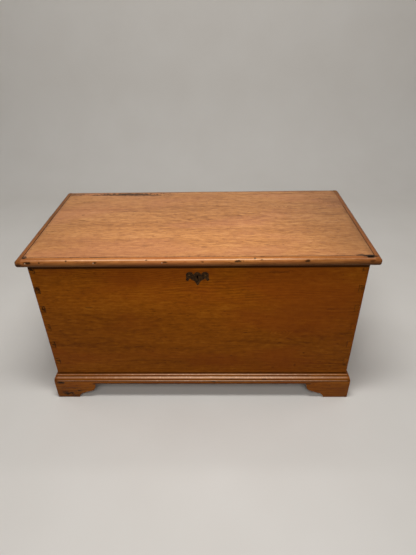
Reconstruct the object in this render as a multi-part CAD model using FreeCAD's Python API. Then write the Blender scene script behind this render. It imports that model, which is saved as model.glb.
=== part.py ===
import FreeCAD, Part
import math
import os

# A pine blanket chest: a through-dovetailed carcass on a mitred plinth with ogee bracket feet,
# and a lid whose moulded edge hangs over the rim. It has two iron butt hinges and a box lock.
#
# Millimetres. Z is up and zero is the floor. The front faces -Y, and the chest is centred on
# X and on the depth of its lid. The lid is shut and the lock's bolt is drawn back.

Vector = FreeCAD.Vector

# ------------------------------------------------------------------ driving dimensions
# Carcass
carcass_length = 1146.0
carcass_depth = 558.0
carcass_height = 541.0
side_thickness = 21.0          # front, back and end boards
corner_wear = 1.5              # rounding of the upright corners by wear

# Dovetails: tails on the front and back boards, pins on the end boards
pin_pitch = 84.0
pin_width = 22.0               # across a pin at the corner of the chest
pin_flare = 3.0                # how much wider each side of a pin is at its shoulder
top_pin_drop = 28.0            # rim to the middle line of the top pin
bottom_pin_height = 23.0
least_tail = 25.0              # narrowest tail at the corner of the chest

# Bottom
bottom_thickness = 16.0
bottom_lift = 78.0             # floor to the underside of the bottom boards
bottom_board_count = 3
bottom_board_gap = 0.8

# Plinth and feet
plinth_height = 120.0
plinth_thickness = 16.5
arch_height = 76.0             # floor to the plinth's lower edge between the feet
foot_length = 171.0            # corner to the inner end of a foot's bracket
foot_base = 96.0               # corner to the inner end of the part on the floor
left_foot_trim = 8.5           # how much shorter the left foot of the front is
foot_cove = 15.0               # length of the cove that rises from the floor
foot_cove_height = 22.0        # floor to the upper end of that cove
foot_cove_bulge = 5.0          # foot base to the middle of the cove
foot_cove_middle = 12.0        # floor to the middle of the cove
foot_lobe = 22.0               # length of the rounded lobe under the arch
foot_lobe_low = 35.0           # floor to the lower end of the lobe
foot_lobe_bulge = 7.0          # foot's inner end to the middle of the lobe
foot_lobe_middle = 47.0        # floor to the middle of the lobe
foot_lobe_high = 68.0          # floor to the upper end of the lobe
mould_bead = 5.4               # width of the small bead at the foot of the plinth moulding
mould_quirk = 1.4              # depth of the grooves beside that bead
mould_plain = 13.5             # plain edge between the arch and the moulding
mould_ovolo = 13.0             # height of the large rounded step
mould_ovolo_reach = 7.4        # how far the large rounded step comes forward
mould_step = 1.4               # square steps between the rounded ones
rear_bracket_thickness = 16.0
rear_bracket_base = 70.0
rear_bracket_length = 125.0
rear_bracket_edge = 18.0       # height of the bracket's inner end
block_width = 32.0
block_lift = 2.0
block_chamfer = 12.0

# Lid
lid_thickness = 20.0
lid_strip_width = 33.0         # narrow strip along the back of the lid
lid_overhang = 14.0            # lid beyond the back of the carcass
lid_mould_width = 21.5
lid_mould_height = 28.5
lid_nose_top_radius = 11.0
lid_nose_low_radius = 7.5
lid_corner_radius = 6.0
front_lip_gap = 1.5            # carcass to the inside of the front moulding
side_lip_gap = 5.5             # carcass to the inside of a side moulding

# Cut nails
nail_head = 4.4
nail_head_thickness = 1.2
nail_shank = 2.4
nail_tip = 1.2
nail_length = 44.0
lid_nail_drop = 11.0           # top of the lid to the moulding nails
lid_front_nail_count = 6
lid_side_nail_count = 4
lid_nail_margin = 27.0
plinth_nail_lift = 4.0         # underside of the bottom boards to the plinth nails
plinth_nail_count = 5
plinth_side_nail_count = 3
plinth_nail_margin = 44.0
bottom_nail_count = 4
bottom_nail_margin = 60.0
bottom_end_nail_count = 2

# Butt hinges
hinge_length = 76.0
hinge_spread = 285.0           # middle of the chest to the middle of each hinge
hinge_reach = 16.0             # how far a leaf lies in from the back of the carcass
hinge_leaf_thickness = 2.4
hinge_axis_set_back = 2.0      # pin's middle line behind the back of the carcass
knuckle_radius = 4.2
knuckle_count = 3
knuckle_gap = 0.4
knuckle_recess_gap = 0.4
hinge_pin_radius = 2.0
hinge_pin_gap = 0.06
hinge_screw_count = 3
hinge_screw_margin = 13.0

# Wood screws
screw_head_radius = 3.4
screw_head_height = 2.4
screw_shank_radius = 1.7
carcass_hinge_screw_length = 24.0
lid_hinge_screw_length = 15.0
lock_screw_length = 15.0
link_screw_length = 14.0

# Box lock inside the front board
lock_width = 116.0
lock_height = 84.0
lock_plate_thickness = 2.0
lock_cover_width = 100.0
lock_cover_depth = 16.0
lock_cover_thickness = 1.5
lock_screw_inset = 4.0
lock_screw_drop = 14.0
lock_top_reach = 12.0          # how far the lock's top plate is let into the rim
key_drop = 57.0                # rim to the middle of the keyhole's round end
key_hole_radius = 3.7
key_slot_width = 4.4
key_slot_length = 11.0
key_post_radius = 1.8
ward_radius = 9.0
ward_thickness = 1.2
ward_height = 5.0
ward_open_half_angle = 40.0

# Bolt, its guides and its spring
bolt_travel = 9.0
bolt_thickness = 4.0
bolt_stand_off = 4.0           # lock plate to the bolt
bolt_bar_height = 13.0
bolt_bar_drop = 17.0           # rim to the top of the bar
bolt_tail_width = 24.0
bolt_tail_drop = 49.0          # rim to the lower end of the tail
bolt_notch_width = 9.0
bolt_notch_height = 6.0
prong_height = 6.0
prong_drop = 6.0               # rim to the top of a prong
prong_length = 8.5
prong_riser = 6.0
prong_gap = 1.0                # drawn-back prong to its staple
guide_left = -30.0             # middle of the left guide stud along the chest
guide_right = 12.0             # middle of the right guide stud
guide_neck_length = 5.0
guide_neck_height = 4.0
guide_clearance = 0.1
guide_base_length = 9.0
guide_base_height = 8.0
guide_head_thickness = 1.2
spring_thickness = 0.9
spring_rise = 12.0
spring_span = 31.0
spring_crest = 6.0             # flat at the top of the spring
spring_gap = 0.3
spring_width = 7.0

# Link plate with two staples, on the underside of the lid
link_length = 92.0
link_width = 20.0
link_thickness = 2.0
staple_spread = 24.0
staple_thickness = 4.0
staple_width = 9.0
staple_depth = 15.5
staple_wall = 2.0
staple_foot = 2.2              # metal left below the staple's eye
staple_slot_gap = 1.0
link_screw_spread = 38.0

# Escutcheon
escutcheon_half_width = 39.0
escutcheon_height = 53.0
escutcheon_thickness = 1.6
escutcheon_rise = 16.0         # middle of the keyhole's round end to the escutcheon's top
escutcheon_pin_spread = 27.0
escutcheon_pin_drop = 12.0
escutcheon_pin_head_radius = 1.7
escutcheon_pin_head_height = 0.9
escutcheon_pin_shank_radius = 0.8
escutcheon_pin_length = 9.0

# ------------------------------------------------------------------ places that follow from them
lid_depth = lid_mould_width + front_lip_gap + carcass_depth + lid_overhang
half_length = carcass_length / 2
front = -lid_depth / 2 + lid_mould_width + front_lip_gap
back = front + carcass_depth
floor_of_carcass = bottom_lift + bottom_thickness
rim = floor_of_carcass + carcass_height
lid_top = rim + lid_thickness
lid_front = -lid_depth / 2
lid_back = lid_depth / 2
half_lid = half_length + side_lip_gap + lid_mould_width
inner_front = front + side_thickness
inner_back = back - side_thickness
inner_half = half_length - side_thickness
hinge_axis = back + hinge_axis_set_back
key_height = rim - key_drop

SMALL = 1.0                    # how far a cutting shape runs past what it cuts


# ------------------------------------------------------------------ helpers
def block(x_range, y_range, z_range):
    """A rectangular block between two values on each axis."""
    size = [high - low for low, high in (x_range, y_range, z_range)]
    return Part.makeBox(size[0], size[1], size[2], Vector(x_range[0], y_range[0], z_range[0]))


def on_yz(x):
    """Places outline points (y, z) in the upright plane across the chest at x."""
    return lambda y, z: Vector(x, y, z)


def on_xz(y):
    """Places outline points (x, z) in the upright plane along the chest at y."""
    return lambda x, z: Vector(x, y, z)


def on_xy(z):
    """Places outline points (x, y) in the level plane at height z."""
    return lambda x, y: Vector(x, y, z)


class Outline:
    """A closed outline drawn from point to point, with straight lines and three-point arcs."""

    def __init__(self, place, start):
        self.place = place
        self.start = start
        self.here = start
        self.edges = []

    def line(self, *points):
        for point in points:
            self.edges.append(Part.LineSegment(self.place(*self.here), self.place(*point)).toShape())
            self.here = point
        return self

    def arc(self, middle, end):
        ends = self.place(*self.here), self.place(*end)
        self.edges.append(Part.Arc(ends[0], self.place(*middle), ends[1]).toShape())
        self.here = end
        return self

    def solid(self, way):
        if self.here != self.start:
            self.line(self.start)
        return Part.Face(Part.Wire(self.edges)).extrude(way)


def polygon_solid(place, points, way):
    """A prism on a straight-sided outline."""
    return Outline(place, points[0]).line(*points[1:]).solid(way)


def mirrored(shape):
    """The same shape on the other end of the chest."""
    return shape.mirror(Vector(0, 0, 0), Vector(1, 0, 0))


def joined(shapes):
    """One solid from shapes that overlap or share faces."""
    return shapes[0].fuse(shapes[1:]).removeSplitter()


def group(shapes):
    """Separate solids that share a node."""
    return Part.makeCompound(shapes)


def aimed(shape, place, way):
    """A shape modelled with its head at the origin and pointing down, aimed from place along way."""
    moved = shape.copy()
    moved.Placement = FreeCAD.Placement(place, FreeCAD.Rotation(Vector(0, 0, -1), way))
    return moved


def spread(low, high, count):
    """Evenly spaced values from low to high."""
    return [low + (high - low) * index / (count - 1) for index in range(count)]


def worn_corner_cutter(x, y, wear, z_range):
    """A flat that takes the sharp edge off the upright corner at (x, y)."""
    out_x = math.copysign(SMALL, x)
    out_y = math.copysign(SMALL, y)
    in_x = x - math.copysign(wear, x)
    in_y = y - math.copysign(wear, y)
    outline = [(in_x, y), (x, in_y), (x + out_x, in_y), (x + out_x, y + out_y), (in_x, y + out_y)]
    return polygon_solid(on_xy(z_range[0]), outline, Vector(0, 0, z_range[1] - z_range[0]))


def rounded_corner_cutter(x, y, radius, z_range):
    """What wear takes off the upright corner at (x, y), whose wood lies towards the middle."""
    inner_x = x - math.copysign(radius, x)
    inner_y = y - math.copysign(radius, y)
    square = block(sorted((inner_x, x + math.copysign(SMALL, x))),
                   sorted((inner_y, y + math.copysign(SMALL, y))), z_range)
    height = z_range[1] - z_range[0]
    return square.cut(Part.makeCylinder(radius, height, Vector(inner_x, inner_y, z_range[0])))


# ------------------------------------------------------------------ fasteners
def cut_nail():
    """A cut nail: a square head, and a square shank that tapers to a blunt point."""
    def square_at(width, z):
        half = width / 2
        corners = [(-half, -half), (half, -half), (half, half), (-half, half), (-half, -half)]
        return Part.makePolygon([Vector(x, y, z) for x, y in corners])

    half = nail_head / 2
    head = block((-half, half), (-half, half), (-nail_head_thickness, 0))
    shank = Part.makeLoft([square_at(nail_shank, -nail_head_thickness),
                           square_at(nail_tip, -nail_length)], True, True)
    return joined([head, shank])


def octagon_prism(radius, high, low):
    """An eight-sided prism round the upright axis, between two heights."""
    corners = [(radius * math.cos(turn), radius * math.sin(turn))
               for turn in (math.radians(22.5 + 45 * index) for index in range(8))]
    return polygon_solid(on_xy(low), corners, Vector(0, 0, high - low))


def screws(length, places, way):
    """Wood screws with flush heads, driven from each place along way. They also cut their own holes."""
    head = octagon_prism(screw_head_radius, 0, -screw_head_height)
    shank = octagon_prism(screw_shank_radius, -screw_head_height, -length)
    screw = joined([head, shank])
    return [aimed(screw, place, way) for place in places]


def nails(places, way):
    """Nails driven from each place along way."""
    nail = cut_nail()
    return [aimed(nail, place, way) for place in places]


# ------------------------------------------------------------------ dovetailed carcass
def pin_sides():
    """The lower and upper sides of each pin at the corner, from the bottom one to the top one."""
    half = pin_width / 2
    sides = [(floor_of_carcass, floor_of_carcass + bottom_pin_height)]
    room = carcass_height - top_pin_drop - half - bottom_pin_height
    for index in range(int((room - least_tail) / pin_pitch), 0, -1):
        middle = rim - top_pin_drop - index * pin_pitch
        sides.append((middle - half, middle + half))
    sides.append((rim - top_pin_drop - half, rim))
    return sides


def pins(y_range):
    """The pins of the right end board that fill the gaps between the tails of one long board."""
    solids = []
    for low, high in pin_sides():
        flare_low = 0 if low == floor_of_carcass else pin_flare
        flare_high = 0 if high == rim else pin_flare
        outline = [(half_length, low), (half_length, high),
                   (inner_half, high + flare_high), (inner_half, low - flare_low)]
        solids.append(polygon_solid(on_xz(y_range[0]), outline, Vector(0, y_range[1] - y_range[0], 0)))
    return solids


def carcass_corner_cutters():
    """Wear on the four upright corners of the carcass."""
    return [worn_corner_cutter(x, y, corner_wear, (floor_of_carcass - SMALL, rim + SMALL))
            for x in (-half_length, half_length) for y in (front, back)]


def tail_board(y_range):
    """A long board with tails at both ends."""
    board = block((-half_length, half_length), y_range, (floor_of_carcass, rim))
    right_pins = pins(y_range)
    left_pins = [mirrored(pin) for pin in right_pins]
    return board.cut(right_pins + left_pins).cut(carcass_corner_cutters())


def end_board():
    """The right end board with its pins."""
    board = block((inner_half, half_length), (inner_front, inner_back), (floor_of_carcass, rim))
    solid = joined([board] + pins((front, inner_front)) + pins((inner_back, back)))
    return solid.cut(carcass_corner_cutters())


def key_hole(y_range):
    """The keyhole's round end and slot, as a solid that runs between two depths."""
    length = y_range[1] - y_range[0]
    round_end = Part.makeCylinder(key_hole_radius, length, Vector(0, y_range[0], key_height),
                                  Vector(0, 1, 0))
    half = key_slot_width / 2
    slot = block((-half, half), y_range, (key_height - key_slot_length, key_height))
    return joined([round_end, slot])


# ------------------------------------------------------------------ bottom
def bottom_boards():
    """Boards along the chest, nailed up to the lower edges of the carcass."""
    pitch = (carcass_depth + bottom_board_gap) / bottom_board_count
    boards = []
    for index in range(bottom_board_count):
        low = front + index * pitch
        board = block((-half_length, half_length), (low, low + pitch - bottom_board_gap),
                      (bottom_lift, floor_of_carcass))
        boards.append(board)
    return boards


def bottom_nail_places():
    """Nails under the middle line of each carcass board."""
    rows = []
    for y in (front + side_thickness / 2, back - side_thickness / 2):
        rows += [(x, y) for x in spread(-half_length + bottom_nail_margin,
                                        half_length - bottom_nail_margin, bottom_nail_count)]
    pitch = (carcass_depth + bottom_board_gap) / bottom_board_count
    for x in (-half_length + side_thickness / 2, half_length - side_thickness / 2):
        rows += [(x, y) for y in spread(front + pitch / 2, back - pitch / 2, bottom_end_nail_count)]
    return [Vector(x, y, bottom_lift) for x, y in rows]


# ------------------------------------------------------------------ plinth and feet
def plinth_profile(place):
    """Section of the plinth as (forward from the carcass, height), with its moulded upper edge."""
    face = plinth_thickness
    bead_low = arch_height + mould_plain
    bead_high = bead_low + mould_bead
    groove = face - mould_quirk
    ovolo_low = bead_high + mould_step
    ovolo_high = ovolo_low + mould_ovolo
    shelf = groove - mould_ovolo_reach
    cap = shelf - mould_step
    cap_low = ovolo_high + mould_step
    cap_rise = plinth_height - cap_low
    diagonal = math.sqrt(0.5)
    outline = Outline(place, (0, 0))
    outline.line((face, 0), (face, bead_low - mould_quirk), (groove, bead_low))
    outline.arc((face, (bead_low + bead_high) / 2), (groove, bead_high))
    outline.line((groove, ovolo_low))
    outline.arc((shelf + mould_ovolo_reach * diagonal, ovolo_low + mould_ovolo * diagonal),
                (shelf, ovolo_high))
    outline.line((cap, ovolo_high), (cap, cap_low))
    outline.arc((cap * diagonal, cap_low + cap_rise * diagonal), (0, plinth_height))
    return outline


def foot_cutter(place, low_corner, high_corner, way):
    """The arch between two bracket feet that start at the given corners, along the way given."""
    middle = (low_corner + high_corner) / 2

    def bracket(reach, height, side):
        """A point of the bracket's curve, by its distance from the corner and its height."""
        corner = low_corner if side < 0 else high_corner
        return corner - side * reach, height

    cove_middle = (foot_base + foot_cove_bulge, foot_cove_middle)
    cove_end = (foot_base + foot_cove, foot_cove_height)
    lobe_start = (foot_length - foot_lobe, foot_lobe_low)
    lobe_middle = (foot_length - foot_lobe_bulge, foot_lobe_middle)
    lobe_end = (foot_length, foot_lobe_high)
    outline = Outline(place, (middle, -SMALL))
    outline.line(bracket(foot_base, -SMALL, 1), bracket(foot_base, 0, 1))
    outline.arc(bracket(*cove_middle, 1), bracket(*cove_end, 1))
    outline.line(bracket(*lobe_start, 1))
    outline.arc(bracket(*lobe_middle, 1), bracket(*lobe_end, 1))
    outline.line(bracket(foot_length, arch_height, 1), bracket(foot_length, arch_height, -1))
    outline.line(bracket(*lobe_end, -1))
    outline.arc(bracket(*lobe_middle, -1), bracket(*lobe_start, -1))
    outline.line(bracket(*cove_end, -1))
    outline.arc(bracket(*cove_middle, -1), bracket(foot_base, 0, -1))
    outline.line(bracket(foot_base, -SMALL, -1))
    return outline.solid(way)


def mitre_cutter(sign):
    """What the mitre takes off the front plinth, at the left or right end."""
    run = plinth_thickness + SMALL
    corner = (sign * half_length, front)
    outer = (sign * (half_length + run), front - run)
    outline = [corner, outer, (outer[0] + sign * SMALL, outer[1]),
               (outer[0] + sign * SMALL, front + SMALL), (corner[0], front + SMALL)]
    return polygon_solid(on_xy(-SMALL), outline, Vector(0, 0, plinth_height + 2 * SMALL))


def plinth_corner_cutters():
    """Wear on the two front corners of the plinth."""
    return [rounded_corner_cutter(sign * (half_length + plinth_thickness), front - plinth_thickness,
                                  corner_wear, (-SMALL, plinth_height)) for sign in (-1, 1)]


def plinth_front():
    """The front of the plinth, mitred at both ends, with a bracket foot at each."""
    reach = half_length + plinth_thickness
    section = plinth_profile(lambda out, up: Vector(-reach, front - out, up))
    rail = section.solid(Vector(2 * reach, 0, 0))
    arch = foot_cutter(on_xz(front - plinth_thickness - SMALL), -reach - left_foot_trim, reach,
                       Vector(0, plinth_thickness + 2 * SMALL, 0))
    return rail.cut([arch, mitre_cutter(-1), mitre_cutter(1)] + plinth_corner_cutters())


def plinth_side():
    """The right side of the plinth, mitred at the front and square at the back."""
    start = front - plinth_thickness
    section = plinth_profile(lambda out, up: Vector(half_length + out, start, up))
    rail = section.solid(Vector(0, back - start, 0))
    arch = foot_cutter(on_yz(half_length - SMALL), start, back,
                       Vector(plinth_thickness + 2 * SMALL, 0, 0))
    beyond_mitre = polygon_solid(on_xy(-SMALL), [
        (half_length - SMALL, front), (half_length, front),
        (half_length + plinth_thickness + SMALL, start - SMALL), (half_length - SMALL, start - SMALL),
    ], Vector(0, 0, plinth_height + 2 * SMALL))
    return rail.cut([arch, beyond_mitre] + plinth_corner_cutters())


def rear_bracket():
    """The plain, slanted board that backs the right rear foot."""
    outline = [(half_length, 0), (half_length - rear_bracket_base, 0),
               (half_length - rear_bracket_length, bottom_lift - rear_bracket_edge),
               (half_length - rear_bracket_length, bottom_lift), (half_length, bottom_lift)]
    return polygon_solid(on_xz(back - rear_bracket_thickness), outline,
                         Vector(0, rear_bracket_thickness, 0))


def foot_block(corner_y, side):
    """A glue block in the corner of a right foot. side is +1 where it lies behind corner_y."""
    far_x = half_length - block_width
    far_y = corner_y + side * block_width
    outline = [(half_length, corner_y), (half_length, far_y), (far_x + block_chamfer, far_y),
               (far_x, far_y - side * block_chamfer), (far_x, corner_y)]
    return polygon_solid(on_xy(block_lift), outline, Vector(0, 0, bottom_lift - block_lift))


def plinth_front_nail_places():
    """Nails through the front plinth into the edge of the bottom."""
    reach = half_length - plinth_nail_margin
    return [Vector(x, front - plinth_thickness, bottom_lift + plinth_nail_lift)
            for x in spread(-reach, reach, plinth_nail_count)]


def plinth_side_nail_places():
    """Nails through the right side of the plinth."""
    return [Vector(half_length + plinth_thickness, y, bottom_lift + plinth_nail_lift)
            for y in spread(front + plinth_nail_margin, back - plinth_nail_margin, plinth_side_nail_count)]


# ------------------------------------------------------------------ lid
def lid_envelope():
    """The outside of the whole lid, whose moulded edge runs along the front and both ends."""
    low = lid_top - lid_mould_height
    diagonal = 1 - math.sqrt(0.5)

    def nose(place, edge, inward, far):
        """A section from a rounded nose at the given edge to a square far side."""
        top = lid_nose_top_radius
        bottom = lid_nose_low_radius
        outline = Outline(place, (far, low))
        outline.line((edge + inward * bottom, low))
        outline.arc((edge + inward * bottom * diagonal, low + bottom * diagonal), (edge, low + bottom))
        outline.line((edge, lid_top - top))
        outline.arc((edge + inward * top * diagonal, lid_top - top * diagonal),
                    (edge + inward * top, lid_top))
        outline.line((far, lid_top))
        return outline

    along = nose(on_yz(-half_lid), lid_front, 1, lid_back).solid(Vector(2 * half_lid, 0, 0))
    across_right = nose(on_xz(lid_front), half_lid, -1, -half_lid - SMALL).solid(Vector(0, lid_depth, 0))
    envelope = along.common(across_right).common(mirrored(across_right))
    corners = [rounded_corner_cutter(sign * half_lid, y, lid_corner_radius, (low - SMALL, lid_top + SMALL))
               for sign in (-1, 1) for y in (lid_front, lid_back)]
    return envelope.cut(corners)


def lid_front_nail_places():
    """Nails through the front moulding into the edge of the lid board."""
    reach = half_lid - lid_mould_width - lid_nail_margin / 2
    return [Vector(x, lid_front, lid_top - lid_nail_drop)
            for x in spread(-reach, reach, lid_front_nail_count)]


def lid_side_nail_places():
    """Nails through the right side moulding."""
    first = lid_front + lid_mould_width + lid_nail_margin
    last = lid_back - lid_strip_width / 2
    return [Vector(half_lid, y, lid_top - lid_nail_drop) for y in spread(first, last, lid_side_nail_count)]


# ------------------------------------------------------------------ hinges
def knuckle_spans(middle, owner):
    """The stretches along X of the knuckles of one leaf: owner 0 has the outer ones."""
    pitch = hinge_length / knuckle_count
    start = middle - hinge_length / 2
    return [(start + index * pitch + knuckle_gap / 2, start + (index + 1) * pitch - knuckle_gap / 2)
            for index in range(owner, knuckle_count, 2)]


def hinge_leaf(middle, owner):
    """A leaf with its knuckles. Owner 0 lies below the rim plane, and owner 1 lies above it."""
    z_range = (rim - hinge_leaf_thickness, rim) if owner == 0 else (rim, rim + hinge_leaf_thickness)
    clear = hinge_axis - knuckle_radius - knuckle_recess_gap
    x_range = (middle - hinge_length / 2, middle + hinge_length / 2)
    pieces = [block(x_range, (back - hinge_reach, clear), z_range)]
    for low, high in knuckle_spans(middle, owner):
        pieces.append(block((low, high), (clear, hinge_axis), z_range))
        pieces.append(Part.makeCylinder(knuckle_radius, high - low, Vector(low, hinge_axis, rim),
                                        Vector(1, 0, 0)))
    bore = hinge_pin_radius + (0 if owner == 0 else hinge_pin_gap)
    return joined(pieces).cut(hinge_pin_solid(middle, bore, SMALL))


def hinge_pin_solid(middle, radius, extra=0.0):
    """A cylinder on the hinge's middle line, as long as the hinge and a little more at each end."""
    return Part.makeCylinder(radius, hinge_length + 2 * extra,
                             Vector(middle - hinge_length / 2 - extra, hinge_axis, rim), Vector(1, 0, 0))


def hinge_recess(middle):
    """The room that both leaves and the knuckles take out of the wood."""
    half = hinge_length / 2
    leaves = block((middle - half, middle + half), (back - hinge_reach, hinge_axis),
                   (rim - hinge_leaf_thickness, rim + hinge_leaf_thickness))
    knuckles = hinge_pin_solid(middle, knuckle_radius + knuckle_recess_gap, knuckle_recess_gap)
    return joined([leaves, knuckles])


def hinge_screw_places(middle):
    """Screw places along a leaf."""
    reach = hinge_length / 2 - hinge_screw_margin
    y = back - (hinge_reach + knuckle_radius - hinge_axis_set_back) / 2
    return [Vector(middle + x, y, 0) for x in spread(-reach, reach, hinge_screw_count)]


# ------------------------------------------------------------------ lock
def staple_middle():
    """Depth of the middle of the bolt and of the staples."""
    return inner_front + lock_plate_thickness + bolt_stand_off + bolt_thickness / 2


def staple_slots():
    """Slots in the lock's top plate that let the staples in."""
    half_x = staple_thickness / 2 + staple_slot_gap
    half_y = staple_width / 2 + staple_slot_gap
    middle = staple_middle()
    return [block((x - half_x, x + half_x), (middle - half_y, middle + half_y),
                  (rim - lock_plate_thickness - SMALL, rim + SMALL))
            for x in (-staple_spread, staple_spread)]


def lock_plate():
    """The plate against the front board, with the top plate that closes the lock at the rim."""
    half = lock_width / 2
    depth = lock_plate_thickness + lock_cover_depth
    upright = block((-half, half), (inner_front, inner_front + lock_plate_thickness),
                    (rim - lock_height, rim))
    top = block((-half, half), (inner_front - lock_top_reach, inner_front + depth),
                (rim - lock_plate_thickness, rim))
    hole = key_hole((inner_front - SMALL, inner_front + lock_plate_thickness + SMALL))
    return joined([upright, top]).cut(staple_slots() + [hole])


def lock_top_recess():
    """The shallow recess in the rim that takes the lock's top plate."""
    half = lock_width / 2
    return block((-half, half), (inner_front - lock_top_reach, inner_front + SMALL),
                 (rim - lock_plate_thickness, rim + SMALL))


def lock_ward():
    """A curved ridge on the cover round the key post, open below where the key goes in."""
    far = inner_front + lock_plate_thickness + lock_cover_depth - lock_cover_thickness
    outer = ward_radius + ward_thickness / 2
    inner = ward_radius - ward_thickness / 2
    turn = math.radians(180 - ward_open_half_angle)

    def at(radius, angle):
        """A point round the post, by its angle from straight up."""
        return radius * math.sin(angle), key_height + radius * math.cos(angle)

    outline = Outline(on_xz(far), at(outer, -turn))
    outline.arc(at(outer, 0), at(outer, turn)).line(at(inner, turn))
    outline.arc(at(inner, 0), at(inner, -turn))
    return outline.solid(Vector(0, -ward_height, 0))


def lock_cover():
    """The box over the works, open towards the plate, with its ward and a flange at each end."""
    half = lock_cover_width / 2
    near = inner_front + lock_plate_thickness
    far = near + lock_cover_depth
    top = rim - lock_plate_thickness
    low = rim - lock_height
    wall = lock_cover_thickness
    shell = block((-half, half), (near, far), (low, top))
    room = block((-half + wall, half - wall), (near - SMALL, far - wall), (low + wall, top + SMALL))
    flanges = [block(sorted((sign * half, sign * lock_width / 2)), (near, near + wall), (low, top))
               for sign in (-1, 1)]
    return joined([shell.cut(room), lock_ward()] + flanges)


def lock_screw_places():
    """Screws through the cover's flanges, the plate and the front board."""
    y = inner_front + lock_plate_thickness + lock_cover_thickness
    return [Vector(x, y, z)
            for x in (-lock_width / 2 + lock_screw_inset, lock_width / 2 - lock_screw_inset)
            for z in (rim - lock_height + lock_screw_drop, rim - lock_screw_drop)]


def key_post():
    """The post that a pipe key turns on, from the cover to the lock plate's keyhole."""
    near = inner_front + lock_plate_thickness
    length = lock_cover_depth - lock_cover_thickness
    return Part.makeCylinder(key_post_radius, length, Vector(0, near, key_height), Vector(0, 1, 0))


def bolt_y_range():
    """The bolt's near and far faces."""
    near = inner_front + lock_plate_thickness + bolt_stand_off
    return near, near + bolt_thickness


def lock_bolt():
    """A bar with two hooked prongs for the staples and a notched tail for the key."""
    y_range = bolt_y_range()
    bar_top = rim - bolt_bar_drop
    bar_low = bar_top - bolt_bar_height
    tip = -staple_thickness / 2 - prong_gap
    riser_front = tip - prong_length
    riser_back = riser_front - prong_riser
    pieces = [block((-staple_spread + riser_back, staple_spread + riser_front + bolt_travel),
                    y_range, (bar_low, bar_top))]
    for x in (-staple_spread, staple_spread):
        pieces.append(block((x + riser_back, x + riser_front), y_range, (bar_low, rim - prong_drop)))
        pieces.append(block((x + riser_back, x + tip), y_range,
                            (rim - prong_drop - prong_height, rim - prong_drop)))
    half = bolt_tail_width / 2
    tail_low = rim - bolt_tail_drop
    pieces.append(block((-half, half), y_range, (tail_low, bar_top)))
    notch_half = bolt_notch_width / 2
    cuts = [block((-notch_half, notch_half), (y_range[0] - SMALL, y_range[1] + SMALL),
                  (tail_low - SMALL, tail_low + bolt_notch_height))]
    for x in (guide_left, guide_right):
        cuts.append(block((x - guide_neck_length / 2 - bolt_travel - guide_clearance,
                           x + guide_neck_length / 2 + guide_clearance),
                          (y_range[0] - SMALL, y_range[1] + SMALL), guide_slot_heights(guide_clearance)))
    return joined(pieces).cut(cuts)


def guide_slot_heights(clearance):
    """Lower and upper side of a guide stud's neck, with a clearance."""
    middle = rim - bolt_bar_drop - bolt_bar_height / 2
    half = guide_neck_height / 2 + clearance
    return middle - half, middle + half


def bolt_guides():
    """Two headed studs on the lock plate that carry the bolt."""
    plate = inner_front + lock_plate_thickness
    near, far = bolt_y_range()
    middle = rim - bolt_bar_drop - bolt_bar_height / 2
    studs = []
    for x in (guide_left, guide_right):
        wide = (x - guide_base_length / 2, x + guide_base_length / 2)
        tall = (middle - guide_base_height / 2, middle + guide_base_height / 2)
        head_y = (far + spring_gap, far + spring_gap + guide_head_thickness)
        neck = block((x - guide_neck_length / 2, x + guide_neck_length / 2), (plate, head_y[1]),
                     guide_slot_heights(0))
        studs.append(joined([block(wide, (plate, near), tall), neck, block(wide, head_y, tall)]))
    return group(studs)


def bolt_spring():
    """A bent leaf spring that bears up against the bolt from the cover's corner."""
    left = -lock_cover_width / 2 + lock_cover_thickness
    right = left + spring_span
    crest = rim - bolt_bar_drop - bolt_bar_height - spring_gap
    foot = crest - spring_rise
    half = spring_crest / 2
    middle = (left + right) / 2
    outline = [(left, foot), (middle - half, crest), (middle + half, crest), (right, foot),
               (right - spring_thickness, foot), (middle + half, crest - spring_thickness),
               (middle - half, crest - spring_thickness), (left + spring_thickness, foot)]
    return polygon_solid(on_xz(inner_front + lock_plate_thickness), outline, Vector(0, spring_width, 0))


def link_plate():
    """The plate let into the lid above the lock, with two staples that hang into it."""
    middle = staple_middle()
    plate = block((-link_length / 2, link_length / 2), (middle - link_width / 2, middle + link_width / 2),
                  (rim, rim + link_thickness))
    pieces = [plate]
    for x in (-staple_spread, staple_spread):
        x_range = (x - staple_thickness / 2, x + staple_thickness / 2)
        outer = block(x_range, (middle - staple_width / 2, middle + staple_width / 2),
                      (rim - staple_depth, rim))
        eye_half = staple_width / 2 - staple_wall
        eye = block((x_range[0] - SMALL, x_range[1] + SMALL), (middle - eye_half, middle + eye_half),
                    (rim - staple_depth + staple_foot, rim - prong_drop + staple_wall))
        pieces.append(outer.cut(eye))
    return joined(pieces)


def link_recess():
    """The recess in the lid that takes the link plate."""
    middle = staple_middle()
    return block((-link_length / 2, link_length / 2), (middle - link_width / 2, middle + link_width / 2),
                 (rim - SMALL, rim + link_thickness))


def link_screw_places():
    """Screws that hold the link plate to the lid."""
    return [Vector(x, staple_middle(), rim) for x in (-link_screw_spread, link_screw_spread)]


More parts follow.
